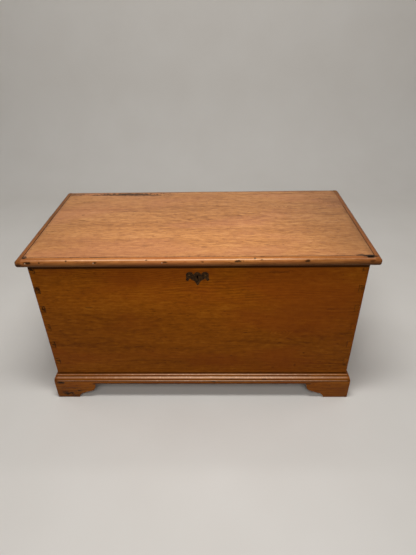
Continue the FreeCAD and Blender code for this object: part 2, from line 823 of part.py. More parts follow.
# ------------------------------------------------------------------ escutcheon
def escutcheon():
    """A batwing plate round the keyhole."""
    top = key_height + escutcheon_rise
    wide = escutcheon_half_width
    tall = escutcheon_height

    def half_outline(outline, side, steps):
        """Adds arcs and lines, given as fractions of the half width and height below the top."""
        for step in steps:
            points = [(side * wide * across, top - tall * down) for across, down in step]
            if len(points) == 2:
                outline.arc(points[0], points[1])
            else:
                outline.line(points[0])

    right = [
        [(0.20, 0.06), (0.33, 0.25)],
        [(0.74, 0.00), (0.99, 0.17)],
        [(0.97, 0.47)],
        [(0.88, 0.65), (0.75, 0.54)],
        [(0.65, 0.49), (0.55, 0.56)],
        [(0.27, 0.68), (0.14, 0.88)],
        [(0.00, 1.00)],
    ]
    outline = Outline(on_xz(front), (0, top))
    half_outline(outline, 1, right)
    ends = [(0.0, 0.0)] + [step[-1] for step in right]
    left = [right[index][:-1] + [ends[index]] for index in range(len(right) - 1, -1, -1)]
    half_outline(outline, -1, left)
    outline.here = outline.start
    plate = outline.solid(Vector(0, -escutcheon_thickness, 0))
    return plate.cut(key_hole((front - escutcheon_thickness - SMALL, front + SMALL)))


def escutcheon_pins():
    """Two pins with raised heads, which also cut their own holes."""
    head = octagon_prism(escutcheon_pin_head_radius, escutcheon_pin_head_height, 0)
    shank = octagon_prism(escutcheon_pin_shank_radius, 0, -escutcheon_pin_length)
    pin = joined([head, shank])
    place = Vector(0, front - escutcheon_thickness, key_height + escutcheon_rise - escutcheon_pin_drop)
    return [aimed(pin, place + Vector(x, 0, 0), Vector(0, 1, 0))
            for x in (-escutcheon_pin_spread, escutcheon_pin_spread)]


# ------------------------------------------------------------------ assembly
def build():
    """Every sub-part by name, each cut for what passes through it."""
    down, up = Vector(0, 0, -1), Vector(0, 0, 1)
    inward_left, inward_right = Vector(1, 0, 0), Vector(-1, 0, 0)
    backward, forward = Vector(0, 1, 0), Vector(0, -1, 0)
    parts = {}

    # Fasteners first, because they shape the holes
    bottom_nails = nails(bottom_nail_places(), up)
    plinth_nails = nails(plinth_front_nail_places(), backward)
    side_nails = nails(plinth_side_nail_places(), inward_right)
    plinth_nails += side_nails + [mirrored(nail) for nail in side_nails]
    lid_nails = nails(lid_front_nail_places(), backward)
    side_nails = nails(lid_side_nail_places(), inward_right)
    lid_nails += side_nails + [mirrored(nail) for nail in side_nails]
    hinge_middles = (-hinge_spread, hinge_spread)
    places = [place + Vector(0, 0, rim) for middle in hinge_middles for place in hinge_screw_places(middle)]
    carcass_screws = screws(carcass_hinge_screw_length, places, down)
    lid_screws = screws(lid_hinge_screw_length, places, up)
    lock_screws = screws(lock_screw_length, lock_screw_places(), forward)
    link_screws = screws(link_screw_length, link_screw_places(), up)
    plate_pins = escutcheon_pins()
    recesses = [hinge_recess(middle) for middle in hinge_middles]

    # Carcass
    front_board = tail_board((front, inner_front))
    parts["front_board"] = front_board.cut(bottom_nails + lock_screws + plate_pins + [
        key_hole((front - SMALL, inner_front + SMALL)), lock_top_recess()])
    parts["back_board"] = tail_board((inner_back, back)).cut(bottom_nails + recesses + carcass_screws)
    right_end = end_board()
    parts["end_board_right"] = right_end.cut(bottom_nails)
    parts["end_board_left"] = mirrored(right_end).cut(bottom_nails)
    for index, board in enumerate(bottom_boards(), start=1):
        parts[f"bottom_board_{index}"] = board.cut(bottom_nails + plinth_nails)
    parts["bottom_nails"] = group(bottom_nails)

    # Plinth and feet
    parts["plinth_front"] = plinth_front().cut(plinth_nails)
    right_side = plinth_side()
    parts["plinth_right"] = right_side.cut(plinth_nails)
    parts["plinth_left"] = mirrored(right_side).cut(plinth_nails)
    parts["plinth_nails"] = group(plinth_nails)
    for name, shape in (("rear_foot_bracket", rear_bracket()),
                        ("foot_block_front", foot_block(front, 1)),
                        ("foot_block_rear", foot_block(back - rear_bracket_thickness, -1))):
        parts[name + "_right"] = shape
        parts[name + "_left"] = mirrored(shape)

    # Lid
    envelope = lid_envelope()
    inside = half_lid - lid_mould_width
    low = lid_top - lid_mould_height
    board_front = lid_front + lid_mould_width
    strip_front = lid_back - lid_strip_width
    lid_board = block((-inside, inside), (board_front, strip_front), (rim, lid_top))
    parts["lid_board"] = lid_board.cut(lid_nails + link_screws + [link_recess()])
    lid_strip = block((-inside, inside), (strip_front, lid_back), (rim, lid_top))
    parts["lid_back_strip"] = lid_strip.cut(lid_nails + recesses + lid_screws)
    front_zone = block((-inside, inside), (lid_front, board_front), (low, lid_top))
    parts["lid_moulding_front"] = envelope.common(front_zone).cut(lid_nails)
    side_zone = block((inside, half_lid), (lid_front, lid_back), (low, lid_top))
    right_moulding = envelope.common(side_zone)
    parts["lid_moulding_right"] = right_moulding.cut(lid_nails)
    parts["lid_moulding_left"] = mirrored(right_moulding).cut(lid_nails)
    parts["lid_nails"] = group(lid_nails)

    # Hinges
    for side, middle in zip(("left", "right"), hinge_middles):
        parts[f"hinge_leaf_carcass_{side}"] = hinge_leaf(middle, 0).cut(carcass_screws)
        parts[f"hinge_leaf_lid_{side}"] = hinge_leaf(middle, 1).cut(lid_screws)
        parts[f"hinge_pin_{side}"] = hinge_pin_solid(middle, hinge_pin_radius)
    parts["carcass_hinge_screws"] = group(carcass_screws)
    parts["lid_hinge_screws"] = group(lid_screws)

    # Lock and escutcheon
    parts["lock_plate"] = lock_plate().cut(lock_screws)
    parts["lock_cover"] = lock_cover().cut(lock_screws)
    parts["lock_screws"] = group(lock_screws)
    parts["lock_bolt"] = lock_bolt()
    parts["bolt_guides"] = bolt_guides()
    parts["bolt_spring"] = bolt_spring()
    parts["key_post"] = key_post()
    parts["link_plate"] = link_plate().cut(link_screws)
    parts["link_screws"] = group(link_screws)
    parts["escutcheon"] = escutcheon().cut(plate_pins)
    parts["escutcheon_pins"] = group(plate_pins)
    return parts


os.makedirs("parts", exist_ok=True)
for name, shape in build().items():
    shape.exportStep(f"parts/{name}.step")
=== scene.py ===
import logging
import math
from dataclasses import dataclass, field
from enum import Enum
from functools import partial, reduce
from typing import Callable, Iterable, NamedTuple, Sequence

import bmesh
import bpy
import numpy as np
from mathutils import Matrix, Vector, noise


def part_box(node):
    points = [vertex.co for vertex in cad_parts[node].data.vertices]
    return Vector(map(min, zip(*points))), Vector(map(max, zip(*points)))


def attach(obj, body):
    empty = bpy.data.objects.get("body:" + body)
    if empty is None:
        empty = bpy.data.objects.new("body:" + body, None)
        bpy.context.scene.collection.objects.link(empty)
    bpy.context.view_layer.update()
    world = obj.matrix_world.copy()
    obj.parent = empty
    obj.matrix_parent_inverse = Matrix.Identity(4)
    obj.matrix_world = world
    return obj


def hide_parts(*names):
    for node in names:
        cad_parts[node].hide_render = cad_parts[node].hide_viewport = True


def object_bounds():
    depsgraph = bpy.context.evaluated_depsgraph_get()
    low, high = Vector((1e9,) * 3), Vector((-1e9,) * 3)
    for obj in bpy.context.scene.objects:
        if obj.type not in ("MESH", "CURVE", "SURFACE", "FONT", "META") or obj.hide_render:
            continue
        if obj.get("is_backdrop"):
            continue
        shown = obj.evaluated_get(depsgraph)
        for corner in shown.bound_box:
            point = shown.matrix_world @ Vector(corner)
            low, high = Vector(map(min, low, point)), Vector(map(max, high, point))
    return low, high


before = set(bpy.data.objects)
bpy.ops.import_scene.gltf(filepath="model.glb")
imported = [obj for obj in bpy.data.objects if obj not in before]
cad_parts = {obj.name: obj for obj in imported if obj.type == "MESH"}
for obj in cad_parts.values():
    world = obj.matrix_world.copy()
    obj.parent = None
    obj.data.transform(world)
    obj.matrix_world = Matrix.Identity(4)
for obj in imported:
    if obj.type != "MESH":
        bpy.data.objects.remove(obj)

log = logging.getLogger("blanket_chest")

Colour = tuple[float, float, float]
Socket = bpy.types.NodeSocket
Feed = float | Sequence[float] | Socket
Material = bpy.types.Material
Piece = bpy.types.Object
Grid = bmesh.types.BMesh
Pair = tuple[float, float]
Triple = tuple[float, float, float]

MM = 0.001
WELD = 0.002 * MM  # corners of the frame's parts that are closer than this are one
SEAM_WELD = 0.01 * MM  # the same, for the corners of a skinned piece
SLIVER = 0.001 * MM  # a cut that passes a corner closer than this goes through it
WHOLE_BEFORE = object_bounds()


class Axis(Enum):
    """The three axes of the chest: along it, from front to back, and up."""

    X = 0
    Y = 1
    Z = 2


X, Y, Z = Axis


def srgb(red: int, green: int, blue: int) -> Colour:
    """Turns a colour in the usual 0 to 255 steps into the linear values that shaders take.

    Args:
        red: Red step.
        green: Green step.
        blue: Blue step.

    Returns:
        The linear colour.
    """
    def linear(step: int) -> float:
        """The linear value of one step."""
        share = step / 255
        return share / 12.92 if share <= 0.04045 else ((share + 0.055) / 1.055) ** 2.4

    return linear(red), linear(green), linear(blue)


def sweep(first: float, last: float, count: int) -> list[float]:
    """Angles in radians from one number of degrees to another, with count even steps between them."""
    return [math.radians(first + (last - first) * index / count) for index in range(count + 1)]


# ------------------------------------------------------------------ shader graph
class Graph:
    """Short calls that add and wire the nodes of one material."""

    def __init__(self, name: str) -> None:
        """Starts an empty material.

        Args:
            name: The material's name.
        """
        self.material = bpy.data.materials.new(name)
        self.material.use_nodes = True
        self.tree = self.material.node_tree
        self.tree.nodes.clear()

    def feed(self, socket: Socket, value: Feed) -> None:
        """Wires a socket to another, or sets its plain value.

        Args:
            socket: The input to fill.
            value: Another node's output, or a number or colour.
        """
        if isinstance(value, bpy.types.NodeSocket):
            self.tree.links.new(value, socket)
        elif socket.type == "RGBA" and len(value) == 3:
            socket.default_value = (*value, 1.0)
        else:
            socket.default_value = value

    def node(self, kind: str, inputs: dict[str | int, Feed] | None = None,
             **settings: object) -> bpy.types.Node:
        """Adds a node.

        Args:
            kind: Blender's type name of the node.
            inputs: What goes into its sockets, by name or number.
            **settings: The node's own options.

        Returns:
            The new node.
        """
        made = self.tree.nodes.new(kind)
        for option, value in settings.items():
            setattr(made, option, value)
        for key, value in (inputs or {}).items():
            self.feed(made.inputs[key], value)
        return made

    def math(self, operation: str, *values: Feed) -> Socket:
        """The result of one of Blender's operations on numbers."""
        return self.node("ShaderNodeMath", dict(enumerate(values)), operation=operation).outputs[0]

    def add(self, *values: Feed) -> Socket:
        """The sum of two or more numbers."""
        return reduce(partial(self.math, "ADD"), values)

    def times(self, a: Feed, b: Feed) -> Socket:
        """The product of two numbers."""
        return self.math("MULTIPLY", a, b)

    def less(self, a: Feed, b: Feed) -> Socket:
        """The first number less the second."""
        return self.math("SUBTRACT", a, b)

    def fit(self, value: Feed, gain: Feed, shift: Feed) -> Socket:
        """A number times a gain, plus a shift."""
        return self.math("MULTIPLY_ADD", value, gain, shift)

    def swing(self, value: Feed, share: Feed) -> Socket:
        """A share of how far a value from 0 to 1 is from a half."""
        return self.times(self.add(value, -0.5), share)

    def hypot(self, a: Feed, b: Feed) -> Socket:
        """The long side of a right-angled triangle with these two short ones."""
        return self.math("SQRT", self.add(self.times(a, a), self.times(b, b)))

    def largest(self, *values: Feed) -> Feed:
        """The largest of some numbers."""
        return reduce(partial(self.math, "MAXIMUM"), values)

    def step(self, value: Feed, low: float, high: float, start: float = 0.0, end: float = 1.0) -> Socket:
        """A smooth step.

        Args:
            value: What is compared.
            low: Where the step starts.
            high: Where the step ends. It may lie below low, and the step then falls.
            start: The result below low.
            end: The result above high.

        Returns:
            The result's socket.
        """
        if high < low:
            low, high, start, end = high, low, end, start
        made = self.node("ShaderNodeMapRange", {
            "Value": value, "From Min": low, "From Max": high, "To Min": start, "To Max": end,
        }, interpolation_type="SMOOTHSTEP")
        return made.outputs[0]

    def mix(self, share: Feed, a: Feed, b: Feed) -> Socket:
        """Mixes two colours, with a share of the second."""
        return self.node("ShaderNodeMix", {0: share, 6: a, 7: b}, data_type="RGBA").outputs[2]

    def point(self, x: Feed, y: Feed, z: Feed) -> Socket:
        """A point from its three coordinates."""
        return self.node("ShaderNodeCombineXYZ", {0: x, 1: y, 2: z}).outputs[0]

    def place(self) -> tuple[Socket, list[Socket]]:
        """The shaded point in the chest's own frame, and its three coordinates."""
        point = self.node("ShaderNodeTexCoord").outputs["Object"]
        return point, list(self.node("ShaderNodeSeparateXYZ", {0: point}).outputs)

    def away(self, point: Feed, at: Triple, size: Triple) -> Socket:
        """How far a point is from the middle of an oval blot, where 1 is the blot's edge.

        Args:
            point: The point.
            at: The blot's middle, in millimetres.
            size: The blot's reach along each axis, in millimetres.

        Returns:
            The distance's socket.
        """
        shift = self.node("ShaderNodeVectorMath", {0: point, 1: [-a * MM for a in at]}, operation="ADD")
        scaled = self.node("ShaderNodeVectorMath", {0: shift.outputs[0], 1: [1 / (reach * MM) for reach in size]},
                           operation="MULTIPLY")
        return self.node("ShaderNodeVectorMath", {0: scaled.outputs[0]}, operation="LENGTH").outputs["Value"]

    def edges(self, low: float, high: float, strength: float) -> Socket:
        """A mask of the raised edges, from two steps of pointiness."""
        return self.step(self.node("ShaderNodeNewGeometry").outputs["Pointiness"], low, high, 0.0, strength)

    def cloud(self, point: Feed, detail: float = 2.0, roughness: float = 0.5, scale: float = 1.0) -> Socket:
        """Soft random values from 0 to 1, mostly near a half, with finer layers by detail and roughness."""
        return self.node("ShaderNodeTexNoise", {"Vector": point, "Scale": scale, "Detail": detail,
                                                "Roughness": roughness}).outputs[0]

    def finish(self, colour: Feed, roughness: Feed, height: Feed, metallic: Feed = 0.0, specular: float = 0.5,
               tint: Colour = (1.0, 1.0, 1.0), ior: float = 1.5) -> Material:
        """Ends the material in one surface shader.

        Args:
            colour: Base colour.
            roughness: How dull the surface is.
            height: Relief in millimetres.
            metallic: 1 on bare metal.
            specular: Strength of the reflection on what isn't metal.
            tint: Colour of that reflection.
            ior: Refractive index of the surface.

        Returns:
            The material.
        """
        relief = self.node("ShaderNodeBump", {"Height": height, "Distance": MM, "Strength": 1.0})
        shader = self.node("ShaderNodeBsdfPrincipled", {
            "Base Color": colour, "Roughness": roughness, "Metallic": metallic, "Normal": relief.outputs[0],
            "Specular IOR Level": specular, "Specular Tint": tint, "IOR": ior,
        })
        self.node("ShaderNodeOutputMaterial", {"Surface": shader.outputs[0]})
        return self.material


# ------------------------------------------------------------------ marks of age
@dataclass(frozen=True)
class DarkBlot:
    """A dark, ragged blot round a place, in millimetres."""

    at: Triple
    size: Triple
    strength: float = 1.0
    ragged: float = 0.5

    def mask(self, graph: Graph, point: Socket, ragged: Socket) -> Socket:
        """How dark the blot is at a point, with its edge broken up by ragged random values."""
        broken = graph.fit(ragged, -4 * self.ragged, 2 * self.ragged)
        return graph.step(graph.add(graph.away(point, self.at, self.size), broken), 1.15, 0.55, 0.0, self.strength)


@dataclass(frozen=True)
class Tone:
    """A soft patch of lighter or darker wood, in millimetres: old wax and wear in some places, painted light and shade
    in others.
    """

    at: Triple
    size: Triple
    gain: float

    def change(self, graph: Graph, point: Socket, drift: Socket) -> Socket:
        """How much lighter or darker a point gets, as a share, with an edge that slow random values shift."""
        uneven = graph.add(graph.away(point, self.at, self.size), graph.fit(drift, 1.2, -0.6))
        return graph.step(uneven, 1.25, 0.0, 0.0, self.gain)


@dataclass(frozen=True)
class Stripe:
    """A line in millimetres, which draws dark joints, painted shade lines and painted highlights along crests.

    It lies at one value of an axis, between two values of another, and fades out past its ends.
    """

    across: Axis
    at: float
    along: Axis
    span: Pair
    width: float = 1.6
    strength: float = 0.9
    broken: float = 0.4
    fade: float = 12.0

    def mask(self, graph: Graph, parts: list[Socket], ragged: Socket) -> Socket:
        """How strong the line is at a point.

        Args:
            graph: The material's graph.
            parts: The point's three coordinates.
            ragged: Random values that break the line.

        Returns:
            The mask's socket.
        """
        away = graph.math("ABSOLUTE", graph.less(parts[self.across.value], self.at * MM))
        line = graph.step(away, self.width * MM, 0.25 * self.width * MM, 0.0, self.strength)
        place = parts[self.along.value]
        first = graph.step(place, (self.span[0] - self.fade) * MM, self.span[0] * MM)
        last = graph.step(place, (self.span[1] + self.fade) * MM, self.span[1] * MM)
        kept = graph.step(ragged, 0.28 + 0.5 * self.broken, 0.12 + 0.4 * self.broken, 1 - self.broken, 1.0)
        return graph.times(graph.times(line, kept), graph.times(first, last))


@dataclass(frozen=True)
class Knot:
    """A knot in a board, by its place along the grain and across the board, in millimetres.

    A core of 0 leaves only the grain that curls round it.
    """

    along: float
    across: float
    radius: float
    core: float = 0.85


# ------------------------------------------------------------------ pine
@dataclass(frozen=True)
class Timber:
    """How a board was cut from its log. Places are in millimetres."""

    grain: Axis
    width: Axis
    heart: Pair
    ring: float = 4.6
    seed: float = 0.0
    knots: tuple[Knot, ...] = ()

    def depth(self) -> Axis:
        """The axis through the board's thickness."""
        return next(axis for axis in Axis if axis not in (self.grain, self.width))


class Figure(NamedTuple):
    """The parts of a board's figure, each a socket from 0 to 1."""

    ring: Socket
    band: Socket
    streak: Socket
    fibre: Socket
    dash: Socket
    hue: Socket
    knot: Socket
    wave: Socket
    mottle: Socket


def pine_figure(graph: Graph, parts: list[Socket], timber: Timber) -> Figure:
    """Draws growth rings, fibres and knots through the whole thickness of a board.

    Args:
        graph: The material's graph.
        parts: The point's three coordinates.
        timber: How the board was cut.

    Returns:
        The board's figure.
    """
    along = graph.add(parts[timber.grain.value], timber.seed)
    width = parts[timber.width.value]
    depth = parts[timber.depth().value]

    def stretched(per_along: float, per_across: float, shift: float) -> Socket:
        """The point with its own scale along the grain and across it."""
        return graph.point(graph.fit(along, per_along, shift), graph.times(width, per_across),
                           graph.times(depth, per_across))

    def wander(rate: float, reach: float, shift: float) -> Socket:
        """How far the log's heart strays to one side or the other, in metres."""
        drift = graph.cloud(graph.point(graph.fit(along, rate, shift), 0.0, shift), 1.0)
        return graph.fit(drift, 2 * reach, -reach)

    off_width = graph.add(width, -timber.heart[0] * MM, wander(1.3, 0.050, 3.1))
    off_depth = graph.add(depth, -timber.heart[1] * MM, wander(1.7, 0.030, 7.7))
    sway = graph.cloud(stretched(3.0, 11.0, 1.7), 3.0)
    tremor = graph.cloud(stretched(16.0, 60.0, 4.4), 2.0)
    radius = graph.add(graph.hypot(off_width, off_depth), graph.swing(sway, 0.022), graph.swing(tremor, 0.0024))

    cores: list[Feed] = [0.0]
    for knot in timber.knots:
        off_along = graph.times(graph.add(parts[timber.grain.value], -knot.along * MM), 0.6)
        away = graph.hypot(off_along, graph.add(width, -knot.across * MM))
        away = graph.add(away, graph.swing(tremor, 0.35 * knot.radius * MM))
        radius = graph.add(radius, graph.step(away, 5 * knot.radius * MM, 0.0, 0.0, 2.2 * knot.radius * MM))
        share = graph.times(away, 1 / (knot.radius * MM))
        rim = graph.step(graph.math("ABSOLUTE", graph.add(share, -0.8)), 0.55, 0.05, 0.0, 0.62 * knot.core)
        year = graph.math("PINGPONG", graph.times(share, 2.6), 0.5)
        heart = graph.times(graph.step(share, 0.95, 0.8, 0.0, knot.core), graph.step(year, 0.0, 0.5, 0.4, 0.8))
        cores.append(graph.largest(rim, heart))

    turn = graph.math("FRACT", graph.math("DIVIDE", radius, timber.ring * MM))
    late = graph.times(graph.step(turn, 0.30, 0.86), graph.step(turn, 1.0, 0.90))
    strength = graph.step(graph.cloud(stretched(1.6, 14.0, 8.8), 2.0), 0.40, 0.66, 0.15, 1.0)
    dash = graph.cloud(stretched(48.0, 260.0, 3.3), 2.0, 0.5)
    return Figure(
        ring=graph.times(late, strength),
        band=graph.cloud(stretched(2.2, 15.0, 6.6), 3.0, 0.55),
        streak=graph.cloud(stretched(12.0, 120.0, 2.2), 4.0, 0.62),
        fibre=graph.cloud(stretched(40.0, 700.0, 5.5), 3.0, 0.6),
        dash=graph.step(dash, 0.63, 0.71),
        hue=graph.cloud(stretched(2.2, 6.0, 9.9), 3.0, 0.55),
        knot=graph.largest(*cores),
        wave=graph.cloud(stretched(7.0, 26.0, 0.9), 2.0, 0.5),
        mottle=graph.cloud(stretched(34.0, 95.0, 12.1), 4.0, 0.66),
    )


@dataclass(frozen=True)
class PineFinish:
    """Old pine with its colours from pale early wood to grime and painted shade, its painted highlights, and its shine.
    """

    pale: Colour
    body: Colour
    deep: Colour
    red: Colour
    # Grime and painted shade share the dark colour; painted highlights along crests take the pale one.
    dirt_and_shade: Colour = srgb(26, 13, 5)
    wear_and_highlight: Colour = srgb(220, 178, 142)
    base: float = 0.50
    ring_share: float = 0.26
    band_share: float = 0.55
    streak_share: float = 1.25
    fibre_share: float = 0.35
    mottle_share: float = 0.55
    dash_share: float = 0.34
    red_share: float = 0.55
    roughness: float = 0.38
    tint: Colour = (1.0, 1.0, 1.0)
    ior: float = 1.45

    def material(self, name: str, timber: Timber, dark_blots: Iterable[DarkBlot] = (), dark_lines: Iterable[Stripe] = (),
                 tones: Iterable[Tone] = (), highlight_ridges: Iterable[Stripe] = (),
                 extra: Callable[[Graph, list[Socket], Socket], Socket] | None = None,
                 bare: Callable[[Graph, list[Socket]], Socket] | None = None,
                 bare_finish: "PineFinish | None" = None) -> Material:
        """Builds the material of one board.

        Args:
            name: The material's name.
            timber: How the board was cut.
            dark_blots: Dark blots, among them painted shade in the keyhole.
            dark_lines: Dark lines along joints, and painted shade lines in creases and under overhangs.
            tones: Lighter and darker patches, painted light and shade among them.
            highlight_ridges: Painted highlights, pale lines along the crests of mouldings, which stand also for worn
                wood where the finish is gone.
            extra: Adds one more mask of grime.
            bare: Gives the share of the surface that never had wax.
            bare_finish: What that surface looks like.

        Returns:
            The material.
        """
        graph = Graph(name)
        point, parts = graph.place()
        figure = pine_figure(graph, parts, timber)
        ragged = graph.cloud(point, 4.0, 0.62, 95.0)
        colour = self.colour(graph, figure)
        unwaxed: Feed = 0.0
        if bare is not None and bare_finish is not None:
            unwaxed = bare(graph, parts)
            colour = graph.mix(unwaxed, colour, bare_finish.colour(graph, figure))
        changes = [tone.change(graph, point, figure.hue) for tone in tones]
        if changes:
            gain = graph.add(1.0, *changes)
            colour = graph.node("ShaderNodeVectorMath", {0: colour, "Scale": gain}, operation="SCALE").outputs[0]
        # Painted highlights: the crests of mouldings are mixed towards the pale colour.
        for highlight_ridge in highlight_ridges:
            colour = graph.mix(highlight_ridge.mask(graph, parts, ragged), colour, self.wear_and_highlight)
        specks = graph.step(graph.cloud(point, 2.0, 0.7, 240.0), 0.68, 0.74, 0.0, 0.75)
        masks: list[Feed] = [graph.times(specks, graph.step(figure.hue, 0.45, 0.6))]
        masks += [dark_blot.mask(graph, point, ragged) for dark_blot in dark_blots]
        masks += [dark_line.mask(graph, parts, ragged) for dark_line in dark_lines]
        if extra is not None:
            masks.append(extra(graph, parts, ragged))
        # Grime, dark joints and painted shade darken the colour through one mask.
        dirt_and_shade = graph.times(graph.largest(*masks), graph.step(unwaxed, 0.0, 1.0, 1.0, 0.4))
        colour = graph.mix(dirt_and_shade, colour, self.dirt_and_shade)
        shine = graph.add(graph.fit(figure.band, 0.16, self.roughness - 0.08), graph.times(dirt_and_shade, 0.3),
                          graph.times(unwaxed, 0.3), graph.swing(figure.fibre, 0.12))
        relief = graph.add(graph.times(figure.ring, 0.04), graph.times(figure.fibre, 0.06),
                           graph.times(figure.wave, 0.30), graph.times(figure.dash, -0.10),
                           graph.times(dirt_and_shade, -0.5))
        return graph.finish(colour, shine, relief, tint=self.tint, ior=self.ior)

    def colour(self, graph: Graph, figure: Figure) -> Socket:
        """The wood's colour from its figure.

        Args:
            graph: The material's graph.
            figure: The board's figure.

        Returns:
            The colour's socket.
        """
        shade = graph.add(
            self.base,
            graph.times(figure.ring, self.ring_share),
            graph.swing(figure.band, self.band_share),
            graph.swing(figure.streak, self.streak_share),
            graph.swing(figure.fibre, self.fibre_share),
            graph.swing(figure.mottle, self.mottle_share),
            graph.times(figure.dash, self.dash_share))
        ramp = graph.node("ShaderNodeValToRGB", {0: shade})
        stops = ramp.color_ramp.elements
        stops[0].position, stops[0].color = 0.05, (*self.pale, 1)
        stops[1].position, stops[1].color = 1.0, (*self.deep, 1)
        middle = stops.new(0.5)
        middle.color = (*self.body, 1)
        warmed = graph.mix(graph.step(figure.hue, 0.45, 0.66, 0.0, self.red_share), ramp.outputs[0], self.red)
        return graph.mix(figure.knot, warmed, [0.45 * c for c in self.deep])


LID_PINE = PineFinish(
    srgb(203, 147, 90), srgb(176, 117, 64), srgb(124, 73, 33), srgb(178, 112, 78), red_share=0.32, dash_share=0.5,
    streak_share=0.8, mottle_share=1.1, band_share=0.45)
CARCASS_PINE = PineFinish(
    srgb(160, 96, 22), srgb(132, 70, 6), srgb(86, 40, 2), srgb(124, 56, 8), roughness=0.40, streak_share=0.6,
    band_share=0.42, mottle_share=0.85, tint=(1.0, 0.5, 0.15), ior=1.2)
# The pale colours of the plinth and the nose are for their painted highlights.
PLINTH_PINE = PineFinish(
    srgb(168, 102, 24), srgb(140, 76, 10), srgb(88, 41, 3), srgb(122, 56, 10), wear_and_highlight=srgb(240, 196, 160),
    roughness=0.22, tint=(1.0, 0.66, 0.4), ior=1.24)
NOSE_PINE = PineFinish(
    srgb(196, 136, 76), srgb(166, 104, 52), srgb(112, 62, 24), srgb(160, 92, 52), wear_and_highlight=srgb(232, 186, 146),
    roughness=0.24, tint=(1.0, 0.7, 0.4), ior=1.22)
BARE_PINE = PineFinish(
    srgb(196, 166, 124), srgb(172, 138, 94), srgb(132, 98, 62), srgb(160, 112, 80), roughness=0.72, ior=1.3)
OLD_PINE = PineFinish(
    srgb(164, 122, 76), srgb(136, 94, 52), srgb(92, 58, 30), srgb(128, 78, 46), roughness=0.78, ior=1.25)


# ------------------------------------------------------------------ metal
@dataclass(frozen=True)
class IronFinish:
    """Dark old iron, with rust in patches and worn edges."""

    dark: Colour = srgb(58, 50, 44)
    rust: Colour = srgb(86, 52, 34)
    wear_and_highlight: Colour = srgb(120, 112, 104)
    rust_share: float = 0.5
    roughness: float = 0.55

    def material(self, name: str) -> Material:
        """Builds the material.

        Args:
            name: The material's name.

        Returns:
            The material.
        """
        graph = Graph(name)
        point, _ = graph.place()
        patch = graph.cloud(point, 4.0, 0.65, 55.0)
        grit = graph.cloud(point, 3.0, 0.7, 620.0)
        rusty = graph.times(graph.step(patch, 0.47, 0.62), self.rust_share)
        colour = graph.mix(rusty, self.dark, self.rust)
        colour = graph.mix(graph.edges(0.515, 0.60, 0.7), colour, self.wear_and_highlight)
        colour = graph.mix(graph.step(grit, 0.55, 0.7, 0.0, 0.35), colour, [0.5 * c for c in self.dark])
        metal = graph.less(0.85, graph.times(rusty, 0.7))
        shine = graph.add(self.roughness, graph.times(rusty, 0.25), graph.swing(grit, 0.25))
        relief = graph.add(graph.times(grit, 0.10), graph.times(patch, 0.25))
        return graph.finish(colour, shine, relief, metallic=metal)


@dataclass(frozen=True)
class BrassFinish:
    """Stamped brass under a dark brown patina that rubs off at the edges."""

    patina: Colour = srgb(36, 20, 8)
    olive: Colour = srgb(70, 46, 22)
    bright: Colour = srgb(112, 78, 40)

    def material(self, name: str) -> Material:
        """Builds the material.

        Args:
            name: The material's name.

        Returns:
            The material.
        """
        graph = Graph(name)
        point, _ = graph.place()
        patch = graph.cloud(point, 4.0, 0.6, 130.0)
        grit = graph.cloud(point, 2.0, 0.6, 900.0)
        colour = graph.mix(graph.step(patch, 0.42, 0.62), self.patina, self.olive)
        colour = graph.mix(graph.edges(0.53, 0.62, 0.75), colour, self.bright)
        shine = graph.fit(patch, 0.2, 0.36)
        relief = graph.add(graph.times(grit, 0.03), graph.times(patch, 0.12))
        return graph.finish(colour, shine, relief, metallic=0.1, tint=(1.0, 0.7, 0.45), ior=1.25)


@dataclass(frozen=True)
class PuttyFinish:
    """Old wax and putty over sunken nail heads."""

    pale: Colour = srgb(206, 172, 138)
    dark: Colour = srgb(140, 100, 70)

    def material(self, name: str) -> Material:
        """Builds the material.

        Args:
            name: The material's name.

        Returns:
            The material.
        """
        graph = Graph(name)
        point, _ = graph.place()
        patch = graph.cloud(point, 3.0, 0.6, 420.0)
        colour = graph.mix(graph.step(patch, 0.4, 0.65), self.pale, self.dark)
        return graph.finish(colour, 0.6, graph.times(patch, 0.2))


# ------------------------------------------------------------------ mesh work
@dataclass(frozen=True)
class Aging:
    """How the edges and faces of a piece have worn, in millimetres and degrees."""

    edge: float = 1.0
    wave: float = 0.35
    wave_size: float = 85.0
    cell: float = 45.0
    least_edge: float = 9.0
    least_face: float = 150.0
    flat_deg: float = 1.0
    sharp_deg: float = 25.0
    segments: int = 2


def welded(node: str) -> Grid:
    """Reads the mesh of one of the frame's parts.

    Args:
        node: The part's name.

    Returns:
        Its mesh, with doubled corners joined.
    """
    grid = bmesh.new()
    grid.from_mesh(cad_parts[node].data)
    bmesh.ops.remove_doubles(grid, verts=grid.verts, dist=WELD)
    return grid


def new_piece(name: str, grid: Grid, smooth_deg: float = 35.0) -> Piece:
    """Puts a mesh in the scene as a piece with smooth shading across shallow edges.

    Args:
        name: The piece's name.
        grid: Its mesh, which is then freed.
        smooth_deg: Edges sharper than this stay crisp.

    Returns:
        The piece.
    """
    mesh = bpy.data.meshes.new(name)
    grid.to_mesh(mesh)
    grid.free()
    piece = bpy.data.objects.new(name, mesh)
    bpy.context.scene.collection.objects.link(piece)
    mesh.shade_smooth()
    mesh.set_sharp_from_angle(angle=math.radians(smooth_deg))
    weighted = piece.modifiers.new("even_shading", "WEIGHTED_NORMAL")
    weighted.keep_sharp = True
    return piece


def waver(point: Vector, seed: float, size: float) -> float:
    """A soft random value between -1 and 1 that changes over about the given size in metres."""
    return noise.noise(point / size + Vector((seed, 2.3 * seed, -1.1 * seed)))


